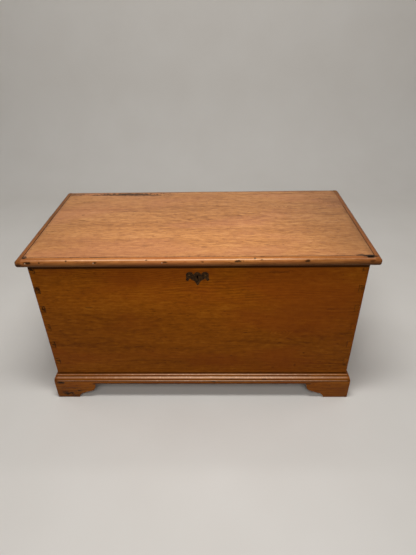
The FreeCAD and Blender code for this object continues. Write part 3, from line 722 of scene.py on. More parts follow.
def aged_copy(node: str, aging: Aging, seed: float) -> Piece:
    """Copies a board's shape, rounds its long sharp edges and lets its faces waver.

    Args:
        node: The board's name in the frame.
        aging: How worn it is.
        seed: Makes each board waver in its own way.

    Returns:
        The new piece, which stands for the board.
    """
    grid = welded(node)
    bmesh.ops.dissolve_limit(grid, angle_limit=math.radians(aging.flat_deg), verts=grid.verts, edges=grid.edges)
    sharp = [edge for edge in grid.edges
             if len(edge.link_faces) == 2
             and edge.calc_length() > aging.least_edge * MM
             and edge.calc_face_angle(0.0) > math.radians(aging.sharp_deg)
             and min(face.calc_area() for face in edge.link_faces) > aging.least_face * MM * MM]
    bmesh.ops.bevel(grid, geom=sharp, offset=aging.edge * MM, segments=aging.segments, profile=0.5,
                    affect="EDGES", clamp_overlap=False)
    low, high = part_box(node)
    for axis in range(3):
        steps = int((high[axis] - low[axis]) / (aging.cell * MM))
        normal = Vector([1.0 if index == axis else 0.0 for index in range(3)])
        for count in range(1, steps + 1):
            cut = low + (high - low) * (count / (steps + 1))
            bmesh.ops.bisect_plane(grid, geom=grid.verts[:] + grid.edges[:] + grid.faces[:],
                                   plane_co=cut, plane_no=normal, dist=SLIVER)
    grid.normal_update()
    for vertex in grid.verts:
        sink = 0.5 + 0.5 * waver(vertex.co, seed, aging.wave_size * MM)
        vertex.co -= vertex.normal * aging.wave * MM * sink
    bmesh.ops.triangulate(grid, faces=[face for face in grid.faces if len(face.verts) > 4])
    return new_piece(f"aged_{node}", grid)


def skinned(name: str, columns: list[list[Vector]]) -> Piece:
    """Skins a row of closed sections, with a cap at each end.

    Args:
        name: The piece's name.
        columns: The sections, each with the same number of points in the same order.

    Returns:
        The piece.
    """
    count = len(columns[0])
    grid = bmesh.new()
    rows = [[grid.verts.new(point) for point in column] for column in columns]
    for left, right in zip(rows, rows[1:]):
        for index in range(count):
            after = (index + 1) % count
            grid.faces.new((left[index], left[after], right[after], right[index]))
    grid.faces.new(reversed(rows[0]))
    grid.faces.new(rows[-1])
    bmesh.ops.remove_doubles(grid, verts=grid.verts, dist=SEAM_WELD)
    bmesh.ops.recalc_face_normals(grid, faces=grid.faces)
    return new_piece(name, grid)


@dataclass(frozen=True)
class Nick:
    """A dent in a piece: its place, reach and depth in millimetres."""

    at: Triple
    reach: float
    depth: float


def dent(piece: Piece, nicks: Iterable[Nick], seed: float, fixed: Callable[[Vector], bool],
         wave: float = 0.5) -> None:
    """Wavers the surface of a piece and dents it.

    Args:
        piece: The piece.
        nicks: Its dents.
        seed: Makes each piece waver in its own way.
        fixed: Says which points stay where they are.
        wave: How far the surface wavers inwards, in millimetres.
    """
    mesh, wave_size, chip_size = piece.data, 60 * MM, 6 * MM
    moved = []
    for vertex in mesh.vertices:
        sink = wave * MM * (0.5 + 0.5 * waver(vertex.co, seed, wave_size))
        ragged = 1 + 0.35 * waver(vertex.co, seed, chip_size)
        for nick in nicks:
            away = (vertex.co - Vector(nick.at) * MM).length / (nick.reach * MM)
            sink += nick.depth * MM * ragged * math.exp(-(away ** 2) * 2)
        moved.append(vertex.co if fixed(vertex.co) else vertex.co - vertex.normal * sink)
    for vertex, place in zip(mesh.vertices, moved):
        vertex.co = place


def dress(piece: Piece, material: Material, body: str, slot: str, *nodes: str) -> None:
    """Gives a piece its material, its body and the parts it stands for.

    Args:
        piece: The piece.
        material: Its material.
        body: The body that it moves with.
        slot: The record's material slot; not used.
        *nodes: The frame's parts that it replaces.
    """
    piece.data.materials.clear()
    piece.data.materials.append(material)
    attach(piece, body)
    if nodes:
        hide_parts(*nodes)
    log.info("%s: %d faces on %s", piece.name, len(piece.data.polygons), body)


def dress_aged(node: str, aging: Aging, seed: float, material: Material, body: str, slot: str) -> None:
    """Puts a worn and dressed copy of a part in its place."""
    dress(aged_copy(node, aging, seed), material, body, slot, node)


def dress_bare(node: str, aging: Aging, seed: float, timber: Timber, slot: str) -> None:
    """Puts a worn copy in bare old pine in the place of one of the chest's hidden boards and blocks."""
    dress_aged(node, aging, seed, OLD_PINE.material(f"{node}_bare", timber), "carcass", slot)


# ------------------------------------------------------------------ fasteners
class Head(NamedTuple):
    """Where a fastener's head lies, and the way that it is driven."""

    place: Vector
    way: Vector


def heads(node: str) -> list[Head]:
    """Finds each fastener of a group in the frame.

    Args:
        node: The group's name.

    Returns:
        The middle of each head's outer face, and the way its shank points.
    """
    grid = welded(node)
    found = []
    left = set(grid.verts)
    while left:
        island = [left.pop()]
        for vertex in island:
            for edge in vertex.link_edges:
                other = edge.other_vert(vertex)
                if other in left:
                    left.discard(other)
                    island.append(other)
        points = np.array([vertex.co for vertex in island])
        low, high = points.min(0), points.max(0)
        axis = int(np.argmax(high - low))
        middle = (low + high) / 2
        others = [index for index in range(3) if index != axis]
        width = [np.ptp(points[np.abs(points[:, axis] - end) < 0.1 * MM][:, others])
                 for end in (low[axis], high[axis])]
        sign = 1.0 if width[0] > width[1] else -1.0
        middle[axis] = low[axis] if sign > 0 else high[axis]
        found.append(Head(Vector(middle), Vector([sign if index == axis else 0.0 for index in range(3)])))
    grid.free()
    return sorted(found, key=lambda head: tuple(round(value, 5) for value in head.place))


def sunk(places: Iterable[Head], depth: float) -> list[Head]:
    """The same heads, driven in deeper by a depth in millimetres."""
    return [Head(head.place + head.way * depth * MM, head.way) for head in places]


def turned(name: str, profile: Sequence[Pair], places: Sequence[Head], sides: int,
           twist: Callable[[int], float] = lambda index: 0.0,
           carve: Callable[[Grid], None] | None = None) -> Piece:
    """Makes one piece of many alike fasteners from a profile turned about each axis.

    Args:
        name: The piece's name.
        profile: Radius and depth below the head's face, in millimetres, from the middle outwards and down.
        places: Where they go.
        sides: How many sides the turning has.
        twist: Turn of each fastener about its own axis, in degrees.
        carve: Changes the mesh of one fastener before it is copied.

    Returns:
        The piece.
    """
    single = bmesh.new()
    rings = []
    for radius, depth in profile:
        if radius == 0:
            rings.append([single.verts.new((0, 0, -depth * MM))])
            continue
        rings.append([single.verts.new((radius * MM * math.cos(t), radius * MM * math.sin(t), -depth * MM))
                      for t in (2 * math.pi * (index + 0.5) / sides for index in range(sides))])
    for upper, lower in zip(rings, rings[1:]):
        for index in range(sides):
            after = (index + 1) % sides
            corners = [upper[index % len(upper)], lower[index % len(lower)], lower[after % len(lower)],
                       upper[after % len(upper)]]
            single.faces.new(list(dict.fromkeys(corners)))
    bmesh.ops.recalc_face_normals(single, faces=single.faces)
    if carve is not None:
        carve(single)
    pattern = bpy.data.meshes.new("pattern")
    single.to_mesh(pattern)
    single.free()
    whole = bmesh.new()
    for index, head in enumerate(places):
        before = len(whole.verts)
        whole.from_mesh(pattern)
        whole.verts.ensure_lookup_table()
        turn = Vector((0, 0, -1)).rotation_difference(head.way).to_matrix().to_4x4()
        spin = Matrix.Rotation(math.radians(twist(index)), 4, "Z")
        bmesh.ops.transform(whole, matrix=Matrix.Translation(head.place) @ turn @ spin,
                            verts=whole.verts[before:])
    bpy.data.meshes.remove(pattern)
    return new_piece(name, whole, 30.0)


def dress_nails(name: str, node: str, shape: Sequence[Pair], depth: float, twist: float, body: str, rust: str) -> None:
    """Puts square nails of one shape, sunk to a depth and each with its own twist, in place of a group."""
    piece = turned(name, shape, sunk(heads(node), depth), 4, lambda index: twist * (index % 3 - 1))
    dress(piece, IronFinish().material(rust), body, "nail_iron", node)


# ------------------------------------------------------------------ lid
# Dark dents in the lid's front nose: place, reach and depth in millimetres, then the stain's size in millimetres,
# its strength and its raggedness.
NOSE_DENTS = (
    ((-556, -297, 645), 9, 0.9, (14, 9, 5), 0.9, 0.5), ((-518, -297, 646), 4, 1.0, (4, 6, 3), 0.95, 0.3),
    ((-334, -297, 646), 6, 0.8, (8, 7, 4), 0.75, 0.6), ((-429, -296, 651), 5, 1.0, (4, 5, 3), 0.8, 0.3),
    ((-165, -295, 653), 5, 0.9, (5, 5, 3), 0.7, 0.4), ((-102, -297, 646), 6, 0.8, (8, 7, 4), 0.75, 0.6),
    ((18, -297, 646), 6, 0.9, (6, 6, 3), 0.7, 0.5), ((137, -297, 648), 12, 0.9, (14, 7, 4), 0.85, 0.6),
    ((190, -289, 655), 6, 1.0, (5, 5, 4), 0.8, 0.3), ((213, -296, 652), 6, 0.9, (6, 5, 3), 0.6, 0.5),
    ((361, -297, 647), 9, 0.9, (9, 7, 5), 0.85, 0.5),
)
# Dents in it that stay clean: place, reach and depth.
CLEAN_DENTS = (
    ((300, -290, 654), 6, 0.6), ((-260, -293, 653), 8, 0.5), ((470, -294, 652), 7, 0.6), ((564, -279, 656), 13, 4.5),
    ((577, -283, 656), 9, 3.5), ((548, -275, 656), 8, 2.5), ((-573, -278, 656), 6, 1.6),
)


@dataclass
class Lid:
    """The lid: a wide board, a strip behind it and a moulded edge, with the nails that hold it.

    Its sizes are in millimetres, and the places that it reads from the frame are in metres.
    """

    column: float = 4.0
    nose_top: float = 11.0
    nose_low: float = 13.0
    nose_undercut: float = 9.0
    corner: float = 3.5
    least_corner: float = 1.2
    crease: float = 0.8
    joint: float = 0.15
    lap: float = 0.2
    # How far below the top the nose's painted highlight runs, in millimetres.
    highlight_drop: float = 2.4
    wax_end: float = 17.0
    bare_start: float = 19.4
    length: float = field(init=False)
    front: float = field(init=False)
    back: float = field(init=False)
    low: float = field(init=False)
    top: float = field(init=False)
    inside: float = field(init=False)
    board_front: float = field(init=False)

    def __post_init__(self) -> None:
        """Reads the lid's places from the frame."""
        low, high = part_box("lid_moulding_right")
        self.length, self.back, self.top = high
        self.inside, self.front, self.low = low
        self.board_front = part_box("lid_board")[0].y

    def section(self, outer: Callable[[float], Vector], inner: Vector) -> list[Vector]:
        """One closed section of the moulded edge.

        Args:
            outer: Gives the place of the nose in plan, by how far it is set in.
            inner: The section's inner side in plan.

        Returns:
            The section's points.
        """
        top, low, under, crease = (size * MM for size in (self.nose_top, self.nose_low, self.nose_undercut,
                                                          self.crease))
        curve = [(under - under * math.sin(t), self.low + low - low * math.cos(t)) for t in sweep(0, 90, 9)]
        curve += [(top - top * math.cos(t), self.top - top + top * math.sin(t)) for t in sweep(0, 90, 12)]
        points = [Vector((inner.x, inner.y, self.low))]
        points += [Vector((*outer(inset).xy, height)) for inset, height in curve]
        end, rim = points[-1], Vector((inner.x, inner.y, self.top))
        flat = (rim - end).length
        points += [end.lerp(rim, share) for share in (0.2, 0.4, 0.6, 0.8)]
        points.append(rim.lerp(end, min(crease / flat, 0.15)) if flat else rim)
        points.append(rim - Vector((0, 0, crease)))
        return points

    def front_moulding(self) -> Piece:
        """The front piece, which butts between the side pieces.

        Returns:
            The piece.
        """
        count = round(2 * self.inside / (self.column * MM))
        ends = self.inside - self.joint * MM
        inner_y = self.board_front - self.lap * MM
        columns = []
        for x in (-ends + 2 * ends * index / count for index in range(count + 1)):
            columns.append(self.section(lambda inset, x=x: Vector((x, self.front + inset, 0)),
                                        Vector((x, inner_y, 0))))
        piece = skinned("lid_front_nose", columns)
        nicks = [Nick(at, reach, depth) for at, reach, depth, *_ in NOSE_DENTS + CLEAN_DENTS]
        dent(piece, nicks, 3.0, lambda point: abs(point.x) > self.inside - 2 * self.joint * MM)
        return piece

    def side_moulding(self, side: int) -> Piece:
        """A side piece, with a rounded return at the front.

        Args:
            side: 1 for the right, -1 for the left.

        Returns:
            The piece.
        """
        corner = self.corner * MM
        inner_x = self.inside + self.joint * MM

        def along_front(share: float, inset: float) -> Vector:
            """A point on the short front end, by its share of the way to the rounded corner."""
            return Vector((inner_x + share * (self.length - corner - inner_x), self.front + inset, 0))

        def along_corner(front: bool, degrees: float, inset: float) -> Vector:
            """A point on a rounded corner.

            Args:
                front: Whether it is the front corner.
                degrees: How far round it is, from 0 at the end to 90 at the side.
                inset: How far the point is set in.

            Returns:
                The point in plan.
            """
            radius = max(corner - (inset if front else 0.0), self.least_corner * MM)
            turn = math.radians(degrees)
            y = radius * (1 - math.cos(turn))
            return Vector((self.length - inset - radius * (1 - math.sin(turn)),
                           self.front + inset + y if front else self.back - y, 0))

        def along_side(y: float, inset: float) -> Vector:
            """A point on the long side."""
            return Vector((self.length - inset, y, 0))

        first, last = Vector((inner_x, self.board_front, 0)), Vector((inner_x, self.back, 0))
        stations = [(partial(along_front, share), first) for share in (0.0, 0.5)]
        stations += [(partial(along_corner, True, turn), first) for turn in (0, 18, 36, 54, 72, 90)]
        start, end = self.board_front, self.back - corner
        count = round((end - start) / (1.6 * self.column * MM))
        stations += [(partial(along_side, y), Vector((inner_x, y, 0)))
                     for y in (start + (end - start) * index / count for index in range(count + 1))]
        stations += [(partial(along_corner, False, turn), last) for turn in (72, 54, 36, 18, 0)]
        piece = skinned(f"lid_side_nose_{'right' if side > 0 else 'left'}",
                        [self.section(outer, inner) for outer, inner in stations])
        nicks = [Nick((589, -296, 650), 7, 1.0), Nick((596, -280, 648), 6, 0.9), Nick((599, -60, 645), 6, 0.7),
                 Nick((597, 120, 650), 8, 0.5), Nick((592, -288, 655), 5, 0.7)]
        dent(piece, nicks, 5.0 + side, lambda point: point.x < self.inside + 2 * self.joint * MM)
        if side < 0:
            piece.data.transform(Matrix.Scale(-1, 4, (1, 0, 0)))
            piece.data.flip_normals()
        return piece

    def bare_below(self, graph: Graph, parts: list[Socket]) -> Socket:
        """The share of the surface that is the boards' underside, where no wax went."""
        return graph.step(parts[2], self.top - self.wax_end * MM, self.top - self.bare_start * MM)

    def build(self) -> None:
        """Makes and dresses the lid."""
        inside, front, top = self.inside / MM, self.board_front / MM, self.top / MM
        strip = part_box("lid_back_strip")[0].y / MM
        front_joint = [
            Stripe(Y, front, X, (-inside, inside), 3.4, 0.72, 0.6), Stripe(Y, front, X, (150, 500), 3.2, 0.85, 0.3),
            Stripe(Y, front + 2, X, (525, 580), 4.5, 0.95, 0.1), Stripe(Y, front, X, (-350, -300), 4.0, 0.95, 0.2),
        ]
        side_joints = [
            Stripe(X, -inside, Y, (-276, 262), 2.8, 0.97, 0.12), Stripe(X, inside, Y, (-276, 120), 2.8, 0.95, 0.25),
            Stripe(X, inside, Y, (120, 290), 1.8, 0.7, 0.5),
        ]
        dark_lines = front_joint + side_joints + [
            Stripe(Y, strip, X, (-470, -190), 4.5, 0.95, 0.45), Stripe(Y, strip, X, (180, 390), 3.6, 0.85, 0.4),
            Stripe(Y, strip, X, (-inside, inside), 1.6, 0.5, 0.7), Stripe(X, -inside, Y, (-300, 300), 15.0, 0.28, 0.5),
            Stripe(X, inside, Y, (-300, 300), 22.0, 0.30, 0.5), Stripe(Y, self.back / MM, X, (-600, 600), 11.0, 0.8, 0.35),
        ]
        dark_blots = [DarkBlot((x, y, top), *row) for x, y, *row in (
            (566, -279, (24, 9, 9), 0.97, 0.5), (538, -269, (18, 3.5, 6), 0.7, 0.6),
            (-335, 274, (150, 11, 12), 0.85, 1.2), (-250, 262, (110, 7, 12), 0.7, 1.1),
            (-560, 276, (60, 14, 12), 0.6, 0.8), (555, 190, (60, 60, 12), 0.22, 0.8),
            (-464, 61, (7, 5, 6), 0.45, 0.5), (-452, 8, (16, 4, 6), 0.4, 0.6), (-156, 41, (18, 4, 6), 0.4, 0.6),
            (-550, -85, (24, 4, 6), 0.4, 0.6), (-477, 192, (36, 6, 6), 0.3, 0.8), (-573, -273, (9, 9, 8), 0.85, 0.5),
            (-95, -150, (9, 4, 6), 0.3, 0.6), (240, -196, (14, 3, 6), 0.3, 0.7),
        )]
        # Painted light, with some of the board's own tone: lighter towards the middle of the front, darker at the ends
        # and the right front corner.
        tones = [Tone((x, y, top), size, gain) for x, y, size, gain in (
            (40, -170, (520, 230, 60), 0.17), (187, -25, (90, 60, 40), 0.10), (590, 60, (300, 400, 60), -0.22),
            (-590, -40, (150, 330, 60), -0.06), (590, -260, (190, 170, 60), -0.14),
        )]
        board = Timber(X, Y, (40, 470), 4.8, 11.0, (
            Knot(24, -212, 6, 0.5), Knot(-179, -199, 6, 0.4), Knot(330, 120, 5, 0.0), Knot(-240, 60, 8, 0.0)))
        for node, finish, timber, marks, edge, seed in (
                ("lid_board", "lid_board_wax", board, dark_blots, 0.9, 1.0),
                ("lid_back_strip", "lid_strip_wax", Timber(X, Y, (180, 560), 4.2, 23.0), dark_blots[2:5], 1.2, 2.0)):
            material = LID_PINE.material(finish, timber, marks, dark_lines, tones, bare=self.bare_below,
                                         bare_finish=BARE_PINE)
            dress_aged(node, Aging(edge=edge, wave=0.5), seed, material, "lid", "lid_pine")
        self.edge(front_joint, side_joints)
        self.nails()

    def edge(self, front_joint: list[Stripe], side_joints: list[Stripe]) -> None:
        """Makes and dresses the moulded edge.

        Args:
            front_joint: Dark lines between the board and the front piece.
            side_joints: Dark lines between the board and the side pieces.
        """
        corner_stains = [
            DarkBlot((567, -280, 655), (24, 9, 9), 0.98, 0.5), DarkBlot((-573, -277, 655), (10, 8, 8), 0.9, 0.4),
            DarkBlot((-588, -297, 636), (16, 9, 7), 0.8, 0.6), DarkBlot((538, -269, 655), (18, 3.5, 6), 0.7, 0.6),
        ]
        dark_blots = [DarkBlot(at, *row) for at, _, _, *row in NOSE_DENTS]
        dark_blots += [DarkBlot((569, -297, 645), (10, 8, 4), 0.6, 0.6)] + corner_stains
        low, highlight_ridge = self.low / MM, self.top / MM - self.highlight_drop
        # Painted shade, standing also for grime: the nose darkens towards its lower edge, where it turns down under the
        # lip.
        below = [Stripe(Z, low, X, (-620, 620), 21.0, 0.78, 0.12), Stripe(Z, low, X, (-620, 620), 8.0, 0.88, 0.05)]
        # Painted light: the middle of the nose is lighter and its ends are darker.
        tones = [Tone((20, -297, 648), (420, 60, 60), 0.16), Tone((600, -290, 648), (240, 80, 60), -0.30),
                 Tone((-620, -290, 648), (170, 80, 60), -0.25)]
        # Painted highlight: a pale line along the top of the nose, strongest near the middle and fading out towards the
        # ends.
        shine = [Stripe(Z, highlight_ridge, X, (-310, 190), 1.9, 0.78, 0.35, 260.0),
                 Stripe(Z, highlight_ridge, X, (-600, 600), 1.7, 0.25, 0.5)]
        material = NOSE_PINE.material("lid_nose_wax", Timber(X, Y, (-330, 560), 4.0, 31.0), dark_blots,
                                      front_joint + below, tones, shine)
        dress(self.front_moulding(), material, "lid", "lid_pine", "lid_moulding_front")
        for side, name in ((1, "right"), (-1, "left")):
            # The side pieces take the same painted shade along their lower edge, and are darker along their outer edge
            # and darker overall.
            material = NOSE_PINE.material(
                f"lid_side_wax_{name}", Timber(Y, X, (side * 640, 560), 4.0, 41.0 + side), corner_stains,
                side_joints + below + [Stripe(X, side * 600, Y, (-320, 320), 5.0, 0.75, 0.15)],
                [Tone((side * 600, 0, 645), (60, 900, 60), -0.57 - 0.05 * side)])
            dress(self.side_moulding(side), material, "lid", "lid_pine", f"lid_moulding_{name}")

    def nails(self) -> None:
        """The sunken nails of the moulded edge, and the putty over some of them."""
        shape = ((0, 0), (2.3, 0), (2.6, 0.25), (2.6, 1.1), (1.6, 1.3), (0.8, 42), (0, 42.3))
        dress_nails("moulding_nails", "lid_nails", shape, 0.7, 7.0, "lid", "nail_rust")
        front = [head for head in heads("lid_nails") if head.way.y > 0.5]
        blob = ((0, 0), (1.6, 0.05), (2.3, 0.25), (2.3, 0.6), (0, 0.6))
        putty = turned("nail_putty", blob, sunk(front[:3], 0.15), 9)
        dress(putty, PuttyFinish().material("old_putty"), "lid", "nail_iron")


# ------------------------------------------------------------------ carcass
@dataclass
class Carcass:
    """The dovetailed box and its bottom.

    Its sizes are in millimetres, and the places that it reads from the frame are in metres.
    """

    pin_pitch: float = 84.0
    pin_drop: float = 28.0
    pin_half: float = 11.0
    pin_flare: float = 3.0
    wax_edge: float = 0.8
    half: float = field(init=False)
    front: float = field(init=False)
    back: float = field(init=False)
    rim: float = field(init=False)
    thick: float = field(init=False)

    def __post_init__(self) -> None:
        """Reads the box's places from the frame."""
        low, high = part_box("front_board")
        self.half, self.rim = high.x, high.z
        self.front = low.y
        self.thick = high.y - low.y
        self.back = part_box("back_board")[1].y

    def joints(self, graph: Graph, parts: list[Socket], ragged: Socket) -> Socket:
        """Dirt in the joints round the dovetails' pins, as seen from the front or the back.

        Args:
            graph: The material's graph.
            parts: The point's three coordinates.
            ragged: Random values that break the lines.

        Returns:
            The mask's socket.
        """
        out = graph.less(self.half, graph.math("ABSOLUTE", parts[0]))
        drop = graph.less(self.rim - self.pin_drop * MM, parts[2])
        turn = graph.math("PINGPONG", drop, 0.5 * self.pin_pitch * MM)
        side = graph.less(turn, graph.fit(out, self.pin_flare / (self.thick / MM), self.pin_half * MM))
        on_face = graph.largest(side, graph.less(out, self.thick))
        middle = 0.5 * (self.front + self.back)
        inward = graph.less(self.back - middle, graph.math("ABSOLUTE", graph.add(parts[1], -middle)))
        on_end = graph.largest(graph.less(self.pin_half * MM, turn), graph.less(inward, self.thick))
        at_end = graph.step(out, 0.6 * MM, 0.3 * MM)
        away = graph.add(on_face, graph.times(at_end, graph.less(on_end, on_face)))
        outer = graph.largest(at_end, graph.step(inward, 1.0 * MM, 0.6 * MM))
        line = graph.step(graph.math("ABSOLUTE", away), 2.4 * MM, 0.8 * MM)
        end_grain = graph.step(away, 0.5 * MM, -1.5 * MM, 0.0, 0.16)
        broken = graph.step(ragged, 0.62, 0.40, 0.30, 1.0)
        left = graph.step(parts[0], 0.2, -0.2, 0.42, 1.0)
        return graph.times(graph.times(graph.add(line, end_grain), broken), graph.times(left, outer))

    def inner(self, graph: Graph, parts: list[Socket]) -> Socket:
        """The share of the surface that lies inside the box, where no wax went.

        Args:
            graph: The material's graph.
            parts: The point's three coordinates.

        Returns:
            The share's socket.
        """
        sides = graph.less(graph.math("ABSOLUTE", parts[0]), self.half - self.thick)
        front = graph.less(self.front + self.thick, parts[1])
        back = graph.less(parts[1], self.back - self.thick)
        return graph.step(graph.largest(sides, front, back), self.wax_edge * MM, 0.0)

    def build(self) -> None:
        """Makes and dresses the box."""
        front, half, rim = self.front / MM, self.half / MM, self.rim / MM
        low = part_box("plinth_front")[1].z / MM
        dark_blots = [DarkBlot((x, front, z), (width, 5, height), *row) for x, z, width, height, *row in (
            (-561, 523, 10, 10, 0.9, 0.9), (-559, 438, 8, 9, 0.85, 0.9), (-557, 355, 6, 7, 0.6, 0.9),
            (-557, 272, 8, 6, 0.7, 0.9), (-556, 187, 10, 5, 0.75, 0.9), (566, 523, 10, 9, 0.5, 0.7),
            (561, 441, 7, 9, 0.25, 0.7), (395, 227, 5, 3, 0.6, 0.5), (118, 213, 5, 3, 0.4, 0.5),
            (-88, 250, 8, 3, 0.35, 0.5), (366, 164, 5, 9, 0.35, 0.7), (281, 152, 6, 3, 0.45, 0.5),
            (472, 435, 24, 2.5, 0.35, 0.7), (-395, 447, 14, 3, 0.4, 0.6), (560, 165, 9, 5, 0.5, 0.6),
            (269, 592, 50, 4, 0.3, 0.8),
        )]
        # The second blot here is painted shade inside the keyhole.
        dark_blots += [DarkBlot((-564, front, 610), (10, 6, 12), 0.95, 0.8), DarkBlot((0, front + 8, 571), (7, 16, 9), 1.0, 0.1)]
        dark_lines = [
            Stripe(Z, low + 1, X, (-half, half), 4.5, 0.85, 0.1), Stripe(Z, rim, X, (-half, half), 9.0, 0.55, 0.3),
            # The line at 22 mm below the rim is a painted shadow under the lid's lip, which stands also for grime where
            # the lip meets the box.
            Stripe(Z, rim - 22, X, (-half, half), 6.5, 0.9, 0.05), Stripe(X, -half, Z, (0, 700), 2.2, 0.6, 0.4),
            Stripe(X, half, Z, (0, 700), 2.2, 0.5, 0.4),
        ]
        # Painted light: a lighter band across the upper front as a sheen, and darker patches lower down and towards the
        # sides.
        tones = [Tone((x, front, z), (width, 80, height), gain) for x, z, width, height, gain in (
            (60, 525, 680, 110, 0.36), (-330, 330, 230, 140, -0.10), (150, 390, 260, 60, 0.08),
            (400, 290, 240, 90, -0.12), (590, 380, 110, 260, -0.10), (0, 140, 900, 170, -0.14),
            (-560, 380, 120, 300, -0.06),
        )]
        boards = (
            ("front_board", dark_blots, tones, Timber(X, Z, (330, -690), 4.4, 3.0, (
                Knot(395, 227, 3, 0.3), Knot(182, 351, 7, 0.0), Knot(-90, 300, 8, 0.0), Knot(298, 327, 6, 0.0),
                Knot(-58, 290, 5, 0.15), Knot(-10, 480, 6, 0.0)))),
            ("back_board", [], [], Timber(X, Z, (250, 600), 4.6, 57.0, (
                Knot(-260, 430, 14), Knot(310, 250, 17), Knot(60, 520, 9)))),
            ("end_board_left", dark_blots, [], Timber(Y, Z, (360, -900), 4.4, 67.0, (
                Knot(90, 300, 13), Knot(-150, 470, 8)))),
            ("end_board_right", dark_blots, [], Timber(Y, Z, (330, 920), 4.4, 77.0, (
                Knot(-60, 420, 12), Knot(170, 220, 9)))),
        )
        for index, (node, marks, patches, timber) in enumerate(boards):
            material = CARCASS_PINE.material(f"{node}_wax", timber, marks, dark_lines, patches, (), self.joints,
                                             self.inner, BARE_PINE)
            dress_aged(node, Aging(edge=0.8, wave=0.45), 10.0 + index, material, "carcass", "carcass_pine")
        for index in (1, 2, 3):
            timber = Timber(X, Y, (60 * index, -300), 4.6, 80.0 + 9 * index, (
                Knot(-320 + 210 * index, -180 + 95 * index, 10),))
            dress_bare(f"bottom_board_{index}", Aging(edge=1.0, wave=0.6, cell=60.0), 20.0 + index, timber,
                       "bottom_pine")
        shape = ((0, 0), (2.2, 0), (2.2, 1.2), (1.2, 1.3), (0.6, 42), (0, 42.3))
        dress_nails("bottom_board_nails", "bottom_nails", shape, 0.0, 0.0, "carcass", "bottom_nail_rust")


# ------------------------------------------------------------------ plinth and feet
def through(first: Pair, middle: Pair, last: Pair, place: float) -> float:
    """The height of the arc through three points at one place along it.

    Args:
        first: The arc's first point.
        middle: A point on it between its ends.
        last: Its last point.
        place: How far along the first axis the height is wanted.

    Returns:
        The height.
    """
    (ax, ay), (bx, by), (cx, cy) = first, middle, last
    cross = 2 * (ax * (by - cy) + bx * (cy - ay) + cx * (ay - by))
    squares = [ax * ax + ay * ay, bx * bx + by * by, cx * cx + cy * cy]
    centre_x = (squares[0] * (by - cy) + squares[1] * (cy - ay) + squares[2] * (ay - by)) / cross
    centre_y = (squares[0] * (cx - bx) + squares[1] * (ax - cx) + squares[2] * (bx - ax)) / cross
    radius = math.hypot(ax - centre_x, ay - centre_y)
    side = 1.0 if by > centre_y else -1.0
    return centre_y + side * math.sqrt(max(radius ** 2 - (place - centre_x) ** 2, 0.0))


